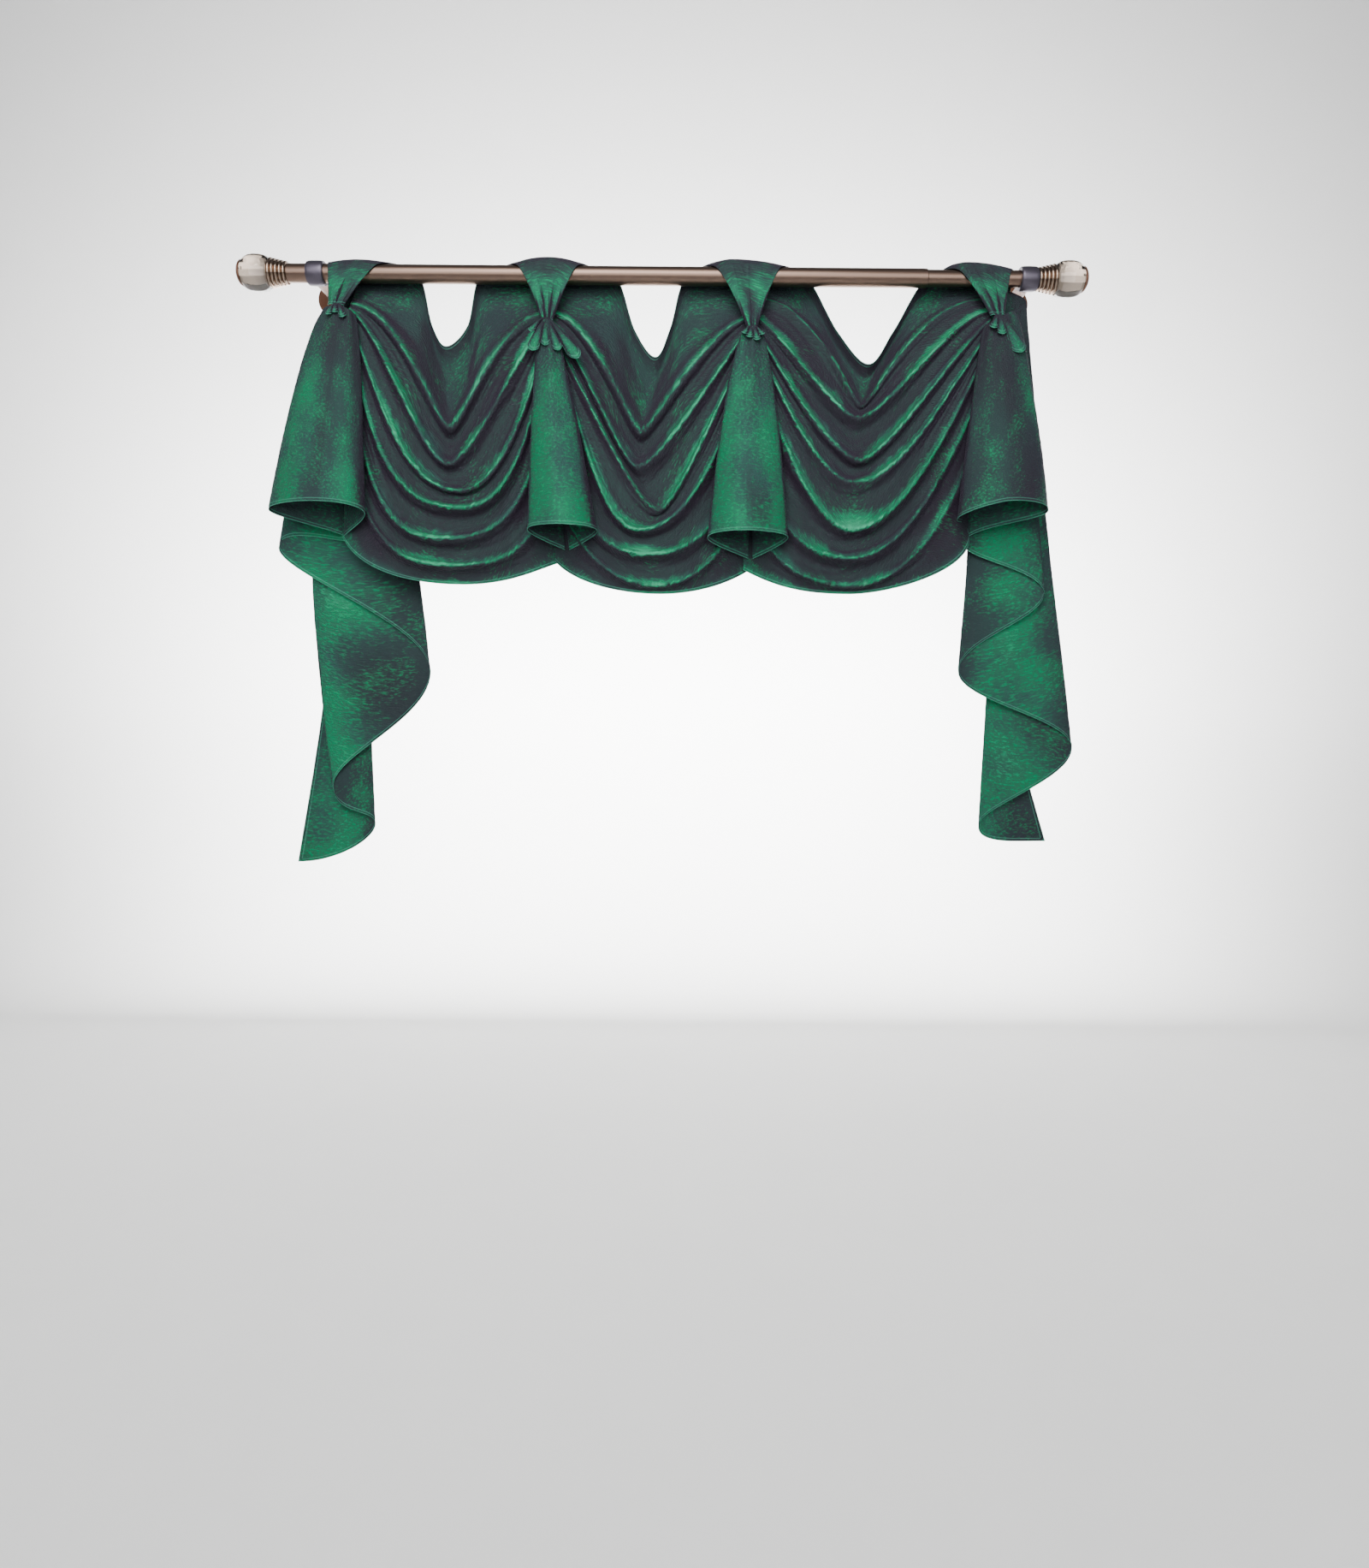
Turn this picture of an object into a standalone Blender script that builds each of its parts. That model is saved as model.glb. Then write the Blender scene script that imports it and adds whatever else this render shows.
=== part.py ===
"""Swag and tail drape on a curtain rod: three swags, two bells and two cascade tails of one cloth.

Sizes are in millimetres. The rod runs along X. A place is given as x, drop and out: x from the middle
of the left bracket, drop down from the rod's axis, and out from the rod's axis towards the room.
"""
import math
from collections import namedtuple

import bmesh
import bpy
from mathutils import Vector

MM = 0.001

# Rod, brackets and finials
ROD_FROM_WALL = 90.0        # rod axis to the wall
ROD_ABOVE_PLATE = 5.0       # rod axis above the middle of the wall plates
OUTER_RADIUS = 14.0
INNER_RADIUS = 12.5
TUBE_WALL = 1.5
JOINT_X = 926.0             # where the thin tube leaves the thick one
ROD_LEFT_X = -43.0
ROD_RIGHT_X = 1092.8
BRACKET_X = (0.0, 1080.0)
COLLAR_RADIUS = 18.5
COLLAR_HALF_LENGTH = 12.8
COLLAR_EDGE = 2.0
TOUCH = 0.3                 # gap between pieces that rest on each other
FINIAL_COLLAR_LENGTH = 27.0
FINIAL_COLLAR_FOOT = 17.0   # radius at the rod
FINIAL_COLLAR_TOP = 23.0    # radius at the glass
FINIAL_RINGS = 5
RING_DEPTH = 2.2
RING_RISE = 0.2             # share of a ring's length before its crest
RING_CREST = 0.75           # share of its length where the crest ends
ROUND_STEPS = 20

# Turned shapes, each point so far along from where the piece starts and at so large a radius
Turn = namedtuple("Turn", "along radius")
PLATE_AND_STEM = (
    Turn(0, 0), Turn(0, 30), Turn(3.6, 30), Turn(6, 27), Turn(6, 15), Turn(15, 9), Turn(85, 9), Turn(85, 0),
)
GLASS = (
    Turn(0, 0), Turn(0, 20), Turn(3, 24), Turn(8, 26.6), Turn(20.5, 27.5), Turn(33, 25.4),
    Turn(38, 22.4), Turn(41, 19.5), Turn(41, 0),
)
CAP = (Turn(0, 0), Turn(0, 19), Turn(2, 19), Turn(5.5, 14.5), Turn(8, 8), Turn(8, 0))

# Cloth
CLOTH = 1.2                 # thickness of every sheet
SEAM_GAP = 0.3              # from a gather's middle line to the edge of the cloth beside it
EDGE_DROP = -12.0           # where the swags' upper edge lies behind the rod and the tabs
EDGE_OUT = -17.3
TAB_BACK_DROP = 3.0         # where a tab ends behind the rod
KNOT_OUT = 20.0             # the gathered cloth in front of the rod
HEM_SEAM_OUT = 8.0          # the same line down at the hem
SEAM_RISE = 1.6             # above 1 the line stays back longer between the edge and the gather
SEAM_FALL = 0.7             # below 1 it goes back early between the gather and the hem
VALLEY_PLACE = 0.34         # how far below a fold its valley lies, of the way to the next
VALLEY_FADE = 0.7           # below 1 the valleys keep their depth close to the gathers
SWAG_COLUMNS = 16
SWAG_STEPS = 4              # facets between two folds of a swag
TURN_DROP = 1.2             # how far down a turned fold of a tail runs, against an even curve
TURN_OUT = 1.3              # how round it is, against an even curve
CORNER_REACH = 3.0          # how far the hem runs level to a corner, against an even curve
TAIL_STEPS = 6              # facets between two rows of a tail
BELL_STEPS = 4
TAIL_LEVELS = 9
BELL_LEVELS = 8
TAB_COLUMNS = 12
TAB_LEVELS = 11

# Each gather: where it is tied, and where the valley below it reaches the hem.
Gather = namedtuple("Gather", "x drop hem_x hem_drop")
GATHERS = (
    Gather(55, 62, 50, 401),
    Gather(354, 76, 372, 436),
    Gather(660, 84, 655, 446),
    Gather(1021, 72, 978, 374),
)

# Each swag's upper edge lies behind the rod near its gathers and dips in a scoop between them.
Edge = namedtuple("Edge", "x drop")
SCOOPS = {
    "swag_left": (Edge(103, -12), Edge(150, -6), Edge(172, 72), Edge(194, 104), Edge(226, 72),
                  Edge(244, -4), Edge(298, -12)),
    "swag_middle": (Edge(404, -12), Edge(453, -6), Edge(483, 77), Edge(515, 118), Edge(537, 73),
                    Edge(560, -6), Edge(610, -12)),
    "swag_right": (Edge(704, -12), Edge(747, -6), Edge(795, 78), Edge(842, 126), Edge(880, 74),
                   Edge(927, -4), Edge(974, -12)),
}
SCOOP_OUT = -14.0           # how far out the lowest point of a scoop is
SCOOP_BACK = 10.0           # depth of the valley under it

# Each fold of a swag hangs from a drop at its left end to its lowest point and up to its right end.
# The angles are its slopes below level at the ends. Reach is how far it keeps that slope, and belly how
# flat its bottom is. Out is how far its lowest point stands out, and back how deep the valley under it is.
Fold = namedtuple("Fold", "low_x low left right left_angle right_angle reach belly out back")
SWAGS = {
    "swag_left": (0, 1, (
        Fold(209, 237, 52, 64, 5, 0, 0.33, 0.15, 24, 14),
        Fold(211, 296, 62, 80, 30, 40, 0.20, 0.25, 38, 12),
        Fold(229, 337, 74, 90, 68, 75, 0.40, 0.50, 44, 9),
        Fold(232, 363, 88, 105, 80, 80, 0.65, 0.50, 50, 13),
        Fold(209, 409, 150, 180, 80, 80, 0.70, 0.52, 50, 12),
        Fold(216, 447, 230, 300, 82, 75, 0.62, 0.55, 44, 9),
        Fold(232, 474, 401, 436, 65, 17, 0.25, 0.50, 32, 0),
    )),
    "swag_middle": (1, 2, (
        Fold(495, 242, 60, 66, 10, 15, 0.32, 0.12, 24, 14),
        Fold(492, 298, 72, 80, 40, 52, 0.23, 0.20, 38, 12),
        Fold(522, 363, 84, 96, 60, 65, 0.30, 0.20, 42, 7),
        Fold(497, 393, 98, 112, 68, 75, 0.48, 0.45, 50, 13),
        Fold(509, 429, 240, 240, 75, 75, 0.62, 0.45, 50, 11),
        Fold(518, 474, 320, 330, 72, 70, 0.45, 0.45, 42, 6),
        Fold(524, 486, 436, 446, 50, 35, 0.22, 0.45, 34, 0),
    )),
    "swag_right": (2, 3, (
        Fold(828, 196, 30, 30, 0, 0, 0.43, 0.10, 6, 7),
        Fold(820, 220, 60, 54, 25, 0, 0.22, 0.22, 24, 13),
        Fold(817, 286, 76, 68, 60, 42, 0.30, 0.22, 38, 11),
        Fold(811, 320, 92, 84, 65, 55, 0.35, 0.35, 42, 8),
        Fold(805, 390, 120, 110, 72, 65, 0.45, 0.35, 50, 13),
        Fold(800, 433, 260, 180, 75, 65, 0.55, 0.38, 50, 11),
        Fold(802, 472, 340, 260, 72, 70, 0.50, 0.42, 42, 6),
        Fold(804, 484, 446, 374, 28, 130, 0.36, 0.42, 34, 0),
    )),
}

# Each row of a bell or tail is a line down the cloth, from its gather to the hem. A turn is a fold where
# the cloth doubles back, a face is the middle of a broad front, an end is an edge, and a corner is an
# edge that the hem runs level to.
# Spread below 1 opens the line out near the top, and bow bends it aside halfway down.
Row = namedtuple("Row", "kind top_x top top_out hem_x hem hem_out spread bow")
BELLS = {
    "bell_left": (
        Row("end", 353.4, 82, 21, 382, 419, 14, 1.0, 0),
        Row("turn", 343, 84, 27, 330, 394, 44, 0.4, 0),
        Row("face", 355, 80, 37, 382, 390, 78, 0.9, 0),
        Row("turn", 366, 84, 27, 432, 395, 44, 0.85, 0),
        Row("end", 354.6, 82, 21, 388, 419, 14, 1.0, 0),
    ),
    "bell_right": (
        Row("end", 659.4, 91, 20.8, 658, 430, 14, 1.0, 0),
        Row("turn", 649, 92, 27, 596, 403, 44, 0.6, 0),
        Row("face", 660, 88, 37, 650, 397, 78, 0.9, 0),
        Row("turn", 671, 92, 27, 714, 403, 44, 0.57, 0),
        Row("end", 660.6, 91, 20.8, 664, 430, 14, 1.0, 0),
    ),
}
TAILS = {
    "tail_left": (
        Row("end", 54.6, 68, 21, 49, 400, 12, 1.0, 0),
        Row("turn", 66, 70, 27, 89, 370, 42, 0.6, 0),
        Row("face", 50, 62, 36, 33, 359, 76, 0.8, 0),
        Row("turn", 30, 60, 27, -54, 367, 40, 0.58, 0),
        Row("turn", 60, 66, 12, 53, 404, 0, 1.0, 0),
        Row("turn", 30, 62, 5, -59, 416, -10, 0.7, 0),
        Row("turn", 68, 66, -2, 172, 603, -22, 0.6, 0),
        Row("turn", 30, 40, -10, 19, 782, -34, 1.0, -36),
        Row("turn", 52, 0, -17.1, 81, 841, -46, 1.0, 0),
        Row("corner", 18, -2, -17.1, -44, 904, -58, 1.0, 32),
    ),
    "tail_right": (
        Row("end", 1021.4, 80, 20.8, 979, 372, 12, 1.0, 0),
        Row("turn", 1008, 82, 27, 966, 371, 42, 0.8, 0),
        Row("face", 1024, 74, 36, 1032, 351, 76, 0.8, 0),
        Row("turn", 1046, 60, 27, 1098, 360, 40, 0.56, 0),
        Row("turn", 1012, 78, 9, 985, 402, 0, 1.0, 0),
        Row("turn", 1048, 58, 5, 1112, 478, -10, 0.6, 0),
        Row("turn", 1006, 70, -2, 985, 596, -22, 0.8, 5),
        Row("turn", 1080, 30, -9, 1166, 715, -34, 1.1, 0),
        Row("turn", 1024, 0, -15.7, 1025, 837, -46, 1.0, 12),
        Row("corner", 1061, -2, -15.7, 1134, 862, -58, 1.0, -62),
    ),
}

# Each tab goes over the rod and narrows to its gather. Peak is where it stands highest, and rise how much.
Tab = namedtuple("Tab", "left right peak rise knot_left knot_right knot_drop rod_radius")
TABS = {
    "tab_1": Tab(17, 120, 70, 5, 28, 50, 58.6, OUTER_RADIUS),
    "tab_2": Tab(289, 412, 351, 11, 345, 364, 82, OUTER_RADIUS),
    "tab_3": Tab(586, 718, 628, 10, 651, 669, 90, OUTER_RADIUS),
    "tab_4": Tab(952, 1058, 981, 10, 1012, 1042, 66, INNER_RADIUS),
}
TAB_CLEARANCE = 0.8         # from the rod to the cloth over it
TAB_ROD_SHARE = 0.62        # share of a tab's facets that go round the rod
TAB_PLEATS = 3
TAB_PLEAT_DEPTH = 3.5
TAB_PLEATS_START = 3.0      # pleats are full where a tab is a third of the way to its gather
TAB_NARROWING = 0.6         # below 1 the tab narrows early on its way down
TAB_KNOT_OUT = 27.0


def place(x, drop, out):
    """World position of a place given in the script's own terms."""
    return Vector((x * MM, -(ROD_FROM_WALL + out) * MM, (ROD_ABOVE_PLATE - drop) * MM))


def mix(first, second, share):
    return first + (second - first) * share


def smooth(share):
    """0 to 1 with level ends."""
    share = min(max(share, 0.0), 1.0)
    return share * share * (3.0 - 2.0 * share)


def hermite(start, end, start_slope, end_slope, share):
    """Curve from start to end with the given slopes there."""
    square = share * share
    cube = square * share
    return (start * (2 * cube - 3 * square + 1) + start_slope * (cube - 2 * square + share)
            + end * (3 * square - 2 * cube) + end_slope * (cube - square))


def through(points, where):
    """Smooth curve through points, read at where, counted in points from 0."""
    last = len(points) - 1
    index = min(int(where), last - 1)
    before = points[max(index - 1, 0)]
    after = points[min(index + 2, last)]
    start, end = points[index], points[index + 1]
    return hermite(start, end, (end - before) * 0.5, (after - start) * 0.5, where - index)


# --- Making objects -------------------------------------------------------------------------------

def clear_scene():
    for item in list(bpy.data.objects):
        bpy.data.objects.remove(item, do_unlink=True)


def new_collection(name, hidden):
    collection = bpy.data.collections.new(name)
    bpy.context.scene.collection.children.link(collection)
    collection.hide_render = hidden
    return collection


def new_material(name, colour, metallic, roughness, transmission=0.0):
    material = bpy.data.materials.new(name)
    material.use_nodes = True
    shader = material.node_tree.nodes["Principled BSDF"]
    shader.inputs["Base Color"].default_value = (*colour, 1.0)
    shader.inputs["Metallic"].default_value = metallic
    shader.inputs["Roughness"].default_value = roughness
    shader.inputs["Transmission Weight"].default_value = transmission
    return material


def new_object(name, shape, collection, material=None):
    """Object from a bmesh, which is freed."""
    bmesh.ops.recalc_face_normals(shape, faces=shape.faces)
    mesh = bpy.data.meshes.new(name)
    shape.to_mesh(mesh)
    shape.free()
    if material:
        mesh.materials.append(material)
    item = bpy.data.objects.new(name, mesh)
    collection.objects.link(item)
    return item


def turned(name, profile, middle, axis, collection, material=None, ring=False):
    """Solid turned about axis ("X" or "Y") through middle, from (along, radius) profile points."""
    shape = bmesh.new()
    points = []
    for along, radius in profile:
        offset = Vector((along, 0, radius)) if axis == "X" else Vector((0, along, radius))
        points.append(shape.verts.new(offset * MM))
    edges = [shape.edges.new(pair) for pair in zip(points, points[1:])]
    if ring:
        edges.append(shape.edges.new((points[-1], points[0])))
    direction = Vector((1, 0, 0)) if axis == "X" else Vector((0, 1, 0))
    bmesh.ops.spin(shape, geom=points + edges, cent=(0, 0, 0), axis=direction, dvec=(0, 0, 0),
                   angle=math.tau, steps=ROUND_STEPS, use_merge=True)
    bmesh.ops.remove_doubles(shape, verts=shape.verts, dist=0.001 * MM)
    bmesh.ops.translate(shape, verts=shape.verts, vec=middle)
    return new_object(name, shape, collection, material)


def boolean(host, tool, operation):
    modifier = host.modifiers.new(operation.title(), "BOOLEAN")
    modifier.operation = operation
    modifier.solver = "EXACT"
    modifier.object = tool
    tool.display_type = "WIRE"
    tool.hide_render = True


def sheet(name, surface, columns, levels, collection, material):
    """Cloth from surface(across, down), each 0 to 1, thickened to both sides."""
    shape = bmesh.new()
    bmesh.ops.create_grid(shape, x_segments=columns, y_segments=levels, size=0.5)
    for vert in shape.verts:
        vert.co = surface(vert.co.x + 0.5, 0.5 - vert.co.y)
    item = new_object(name, shape, collection, material)
    modifier = item.modifiers.new("Thickness", "SOLIDIFY")
    modifier.thickness = CLOTH * MM
    modifier.offset = 0.0
    return item


# --- Cloth ----------------------------------------------------------------------------------------

def seam(gather, drop, side):
    """The valley where two pieces meet below, behind and above a gather; side is -1 or 1."""
    if drop < gather.drop:
        share = (drop - EDGE_DROP) / (gather.drop - EDGE_DROP)
        return Vector((gather.x + side * SEAM_GAP, drop, mix(EDGE_OUT, KNOT_OUT, share ** SEAM_RISE)))
    share = (drop - gather.drop) / (gather.hem_drop - gather.drop)
    x = mix(gather.x, gather.hem_x, share) + side * SEAM_GAP
    return Vector((x, drop, mix(KNOT_OUT, HEM_SEAM_OUT, share ** SEAM_FALL)))


def fold_point(fold, left, right, across):
    """Point of a fold's line as x, drop and out, with across 0.5 at its lowest point."""
    if across < 0.5:
        end, angle, sense, share = seam(left, fold.left, 1), fold.left_angle, 1, across * 2
    else:
        end, angle, sense, share = seam(right, fold.right, -1), fold.right_angle, -1, 2 - across * 2
    slope = math.radians(angle)
    chord = math.hypot(fold.low_x - end.x, fold.low - end.y)
    handle = fold.reach * chord
    corners = (
        (end.x, end.y),
        (end.x + sense * handle * math.cos(slope), end.y + handle * math.sin(slope)),
        (fold.low_x - sense * fold.belly * abs(fold.low_x - end.x), fold.low),
        (fold.low_x, fold.low),
    )
    rest = 1 - share
    weights = (rest ** 3, 3 * rest * rest * share, 3 * rest * share * share, share ** 3)
    x = sum(weight * corner[0] for weight, corner in zip(weights, corners))
    drop = sum(weight * corner[1] for weight, corner in zip(weights, corners))
    return Vector((x, drop, mix(end.z, fold.out, smooth(share))))


def scoop_point(scoop, left, right, across):
    """Point of a swag's upper edge as x, drop and out."""
    deepest = max(edge.drop for edge in scoop)
    points = [seam(left, EDGE_DROP, 1)]
    for edge in scoop:
        share = smooth((edge.drop - EDGE_DROP) / (deepest - EDGE_DROP))
        points.append(Vector((edge.x, edge.drop, mix(EDGE_OUT, SCOOP_OUT, share))))
    points.append(seam(right, EDGE_DROP, -1))
    return through(points, across * (len(points) - 1))


def swag_surface(left, right, scoop, folds):
    """Cloth between two gathers, each fold a ridge with a valley under it."""
    backs = [SCOOP_BACK] + [fold.back for fold in folds]

    def surface(across, down):
        ridges = [scoop_point(scoop, left, right, across)]
        ridges += [fold_point(fold, left, right, across) for fold in folds]
        lines = [ridges[0]]
        for index, (upper, lower) in enumerate(zip(ridges, ridges[1:])):
            valley = mix(upper, lower, VALLEY_PLACE)
            ends_fade = 1.0 if index == 0 else math.sin(math.pi * across) ** VALLEY_FADE
            valley.z -= backs[index] * ends_fade
            lines += [valley, lower]
        return place(*through(lines, down * (len(lines) - 1)))
    return surface


def row_point(row, down):
    """Point of a row of a bell or tail at down, 0 at the gather and 1 at the hem."""
    x = mix(row.top_x, row.hem_x, down ** row.spread) + row.bow * math.sin(math.pi * down)
    return Vector((x, mix(row.top, row.hem, down), mix(row.top_out, row.hem_out, down)))


def tail_surface(rows):
    """Cloth that turns back at each of its rows, one layer behind the last."""
    def surface(across, down):
        points = [row_point(row, down) for row in rows]
        slopes = []
        for index, row in enumerate(rows):
            before = points[max(index - 1, 0)]
            after = points[min(index + 1, len(rows) - 1)]
            slope = (after - before) * 0.5
            if row.kind == "turn":
                slope.x = 0.0
                slope.y *= TURN_DROP
                slope.z *= TURN_OUT
            elif row.kind == "corner":
                slope.x *= CORNER_REACH
                slope.y = 0.0
            slopes.append(slope)
        where = across * (len(rows) - 1)
        index = min(int(where), len(rows) - 2)
        return place(*hermite(points[index], points[index + 1], slopes[index], slopes[index + 1],
                              where - index))
    return surface


def tab_surface(tab):
    """Strip that rises behind the rod, goes over it and is pleated into its gather."""
    radius = tab.rod_radius + CLOTH / 2 + TAB_CLEARANCE
    arc = math.pi * radius
    fall = math.hypot(tab.knot_drop, TAB_KNOT_OUT - radius)
    start_angle = -math.asin(TAB_BACK_DROP / radius)

    def surface(across, down):
        level = tab.left + (tab.right - tab.left) * across
        side = (level - tab.peak) / ((tab.right if level > tab.peak else tab.left) - tab.peak)
        over_rod = min(down / TAB_ROD_SHARE, 1.0)
        in_front = max((down - TAB_ROD_SHARE) / (1 - TAB_ROD_SHARE), 0.0)
        along = mix(start_angle * radius, arc, over_rod) + fall * in_front
        narrowing = max(along - arc / 2, 0.0) / (arc / 2 + fall)
        x = mix(level, mix(tab.knot_left, tab.knot_right, across), narrowing ** TAB_NARROWING)
        pleat = TAB_PLEAT_DEPTH * (1 - math.cos(math.tau * TAB_PLEATS * across)) * 0.5
        pleat *= smooth(narrowing * TAB_PLEATS_START)
        if along < arc:
            angle = along / radius
            lift = radius + tab.rise * (1 - side * side) * math.sin(angle) ** 2 + pleat
            return place(x, -lift * math.sin(angle), -lift * math.cos(angle))
        share = (along - arc) / fall
        return place(x, share * tab.knot_drop, mix(radius, TAB_KNOT_OUT, share) + pleat)
    return surface


# --- Rod, brackets and finials --------------------------------------------------------------------

def tube(name, start, end, radius, collection, material):
    inside = radius - TUBE_WALL
    profile = ((start, inside), (start, radius), (end, radius), (end, inside))
    return turned(name, profile, place(0, 0, 0), "X", collection, material, ring=True)


def bracket(name, x, bore, collection, cutters, material):
    """Wall plate and stem, joined to the collar that the rod passes through."""
    profile = [(-along, radius) for along, radius in PLATE_AND_STEM]
    host = turned(name, profile, Vector((x * MM, 0, 0)), "Y", collection, material)
    half, edge = COLLAR_HALF_LENGTH, COLLAR_EDGE
    ring = (
        (-half, 0), (-half, COLLAR_RADIUS - edge), (-half + edge, COLLAR_RADIUS),
        (half - edge, COLLAR_RADIUS), (half, COLLAR_RADIUS - edge), (half, 0),
    )
    boolean(host, turned(name + "_ring_tool", ring, place(x, 0, 0), "X", cutters), "UNION")
    hole = ((-half * 2, 0), (-half * 2, bore), (half * 2, bore), (half * 2, 0))
    boolean(host, turned(name + "_bore_tool", hole, place(x, 0, 0), "X", cutters), "DIFFERENCE")
    return host


def finial(side, start, sense, collection, metal, glass):
    """Ringed collar, glass barrel and end cap, outward from start; sense is -1 to the left."""
    collar = [(0, 0), (0, FINIAL_COLLAR_FOOT)]
    ring_length = FINIAL_COLLAR_LENGTH / FINIAL_RINGS
    for ring in range(FINIAL_RINGS):
        radius = mix(FINIAL_COLLAR_FOOT, FINIAL_COLLAR_TOP, (ring + 0.5) / FINIAL_RINGS)
        at = ring * ring_length
        collar += [(at + ring_length * RING_RISE, radius), (at + ring_length * RING_CREST, radius)]
        if ring < FINIAL_RINGS - 1:
            collar.append((at + ring_length, radius - RING_DEPTH))
    collar += [(FINIAL_COLLAR_LENGTH, FINIAL_COLLAR_TOP - RING_DEPTH), (FINIAL_COLLAR_LENGTH, 0)]
    glass_start = FINIAL_COLLAR_LENGTH + TOUCH
    cap_start = glass_start + GLASS[-1].along + TOUCH
    pieces = (("collar", collar, 0, metal), ("glass", GLASS, glass_start, glass),
              ("cap", CAP, cap_start, metal))
    for piece, profile, offset, material in pieces:
        points = [(sense * (offset + along), radius) for along, radius in profile]
        turned(f"finial_{piece}_{side}", points, place(start, 0, 0), "X", collection, material)


def main():
    clear_scene()
    drape = new_collection("swag_and_tail_drape", False)
    cutters = new_collection("cutters", True)
    cloth = new_material("green taffeta", (0.03, 0.11, 0.09), 0.0, 0.4)
    nickel = new_material("brushed nickel", (0.50, 0.45, 0.40), 1.0, 0.35)
    pewter = new_material("dark pewter", (0.12, 0.12, 0.13), 1.0, 0.45)
    glass = new_material("clear glass", (0.95, 0.97, 0.97), 0.0, 0.05, transmission=1.0)

    tube("rod_outer", ROD_LEFT_X, JOINT_X, OUTER_RADIUS, drape, nickel)
    tube("rod_inner", JOINT_X + TOUCH, ROD_RIGHT_X, INNER_RADIUS, drape, nickel)
    for name, x, radius in zip(("bracket_left", "bracket_right"), BRACKET_X,
                               (OUTER_RADIUS, INNER_RADIUS)):
        bracket(name, x, radius + TOUCH, drape, cutters, pewter)
    finial("left", ROD_LEFT_X - TOUCH, -1, drape, nickel, glass)
    finial("right", ROD_RIGHT_X + TOUCH, 1, drape, nickel, glass)

    for name, (left, right, folds) in SWAGS.items():
        surface = swag_surface(GATHERS[left], GATHERS[right], SCOOPS[name], folds)
        sheet(name, surface, SWAG_COLUMNS, SWAG_STEPS * len(folds), drape, cloth)
    for name, rows in (*BELLS.items(), *TAILS.items()):
        steps, levels = (BELL_STEPS, BELL_LEVELS) if name in BELLS else (TAIL_STEPS, TAIL_LEVELS)
        sheet(name, tail_surface(rows), steps * (len(rows) - 1), levels, drape, cloth)
    for name, tab in TABS.items():
        sheet(name, tab_surface(tab), TAB_COLUMNS, TAB_LEVELS, drape, cloth)


if __name__ == "__main__":
    main()
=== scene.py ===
"""Swag and tail drape in shot taffeta on a telescoping curtain rod with glass finials.

Cloth sizes are in millimetres, in the workroom's own terms: x along the rod from the middle of the
left bracket, drop down from the rod's axis, and out from the rod's axis towards the room.
"""

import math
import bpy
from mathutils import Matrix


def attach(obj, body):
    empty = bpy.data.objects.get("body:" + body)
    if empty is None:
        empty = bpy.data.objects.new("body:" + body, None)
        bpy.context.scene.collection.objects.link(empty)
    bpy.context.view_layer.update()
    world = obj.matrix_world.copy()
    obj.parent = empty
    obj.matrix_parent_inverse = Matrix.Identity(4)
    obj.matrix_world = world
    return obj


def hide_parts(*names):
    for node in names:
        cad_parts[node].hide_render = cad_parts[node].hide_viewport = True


bl_info = {
    "name": "Swag and Tail Drape",
    "version": (1, 0, 0),
    "blender": (4, 5, 0),
    "location": "View3D > Sidebar > Drape",
    "description": "Hangs a swag and tail drape of shot taffeta on a curtain rod",
    "category": "Add Mesh",
}

from collections import namedtuple

import bmesh
import bpy
from bpy.props import FloatProperty, FloatVectorProperty, IntProperty, PointerProperty
from mathutils import Matrix, Vector, noise

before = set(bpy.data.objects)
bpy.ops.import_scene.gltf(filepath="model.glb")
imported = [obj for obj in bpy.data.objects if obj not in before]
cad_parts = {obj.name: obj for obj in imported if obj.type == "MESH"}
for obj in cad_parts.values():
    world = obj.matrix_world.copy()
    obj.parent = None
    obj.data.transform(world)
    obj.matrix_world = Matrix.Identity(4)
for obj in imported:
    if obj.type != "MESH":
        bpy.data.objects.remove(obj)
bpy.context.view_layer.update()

MM = 0.001


def linear(code):
    """Linear colour of an sRGB hex value."""
    values = [int(code[start:start + 2], 16) / 255 for start in (1, 3, 5)]
    return tuple(v / 12.92 if v <= 0.04045 else ((v + 0.055) / 1.055) ** 2.4 for v in values)


# --- Sizes ----------------------------------------------------------------------------------------

# Rod, brackets and finials
ROD_FROM_WALL = 90.0
ROD_ABOVE_PLATE = 5.0
OUTER_RADIUS = 14.0
INNER_RADIUS = 12.5
TUBE_WALL = 1.5
JOINT_X = 926.0             # where the thin tube leaves the thick one
ROD_LEFT_X = -43.0
ROD_RIGHT_X = 1092.8
BRACKET_X = (0.0, 1080.0)
COLLAR_RADIUS = 18.5
COLLAR_HALF_LENGTH = 12.8
COLLAR_EDGE = 2.0
COLLAR_CURVE = 12           # steps round its bulging face
TOUCH = 0.3                 # gap between pieces that rest on each other
FINIAL_COLLAR_LENGTH = 27.0
FINIAL_COLLAR_FOOT = 17.0   # radius at the rod
FINIAL_COLLAR_TOP = 23.0    # radius at the glass
FINIAL_RINGS = 5
RING_DEPTH = 2.2
RING_CURVE = 6              # steps over each ring

# Turned shapes, each point so far along from where the piece starts and at so large a radius
PLATE_AND_STEM = ((0, 0), (0, 30), (3.0, 30), (4.4, 29.2), (5.0, 27.6), (5.6, 18), (8, 14),
                  (12, 10.5), (17, 9), (74, 9), (74, 0))
GLASS = ((0, 0), (0, 20), (2, 23), (6, 25.8), (13, 27.2), (22, 27.4), (30, 26.2), (35, 24.2),
         (38.5, 21.8), (41, 19.5), (41, 0))
CAP = ((0, 0), (0, 18.4), (0.6, 19.2), (1.6, 19.3), (3.0, 18.2), (4.8, 15.8), (6.4, 12.4),
       (7.5, 9.0), (8, 6.5), (8, 0))

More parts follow.
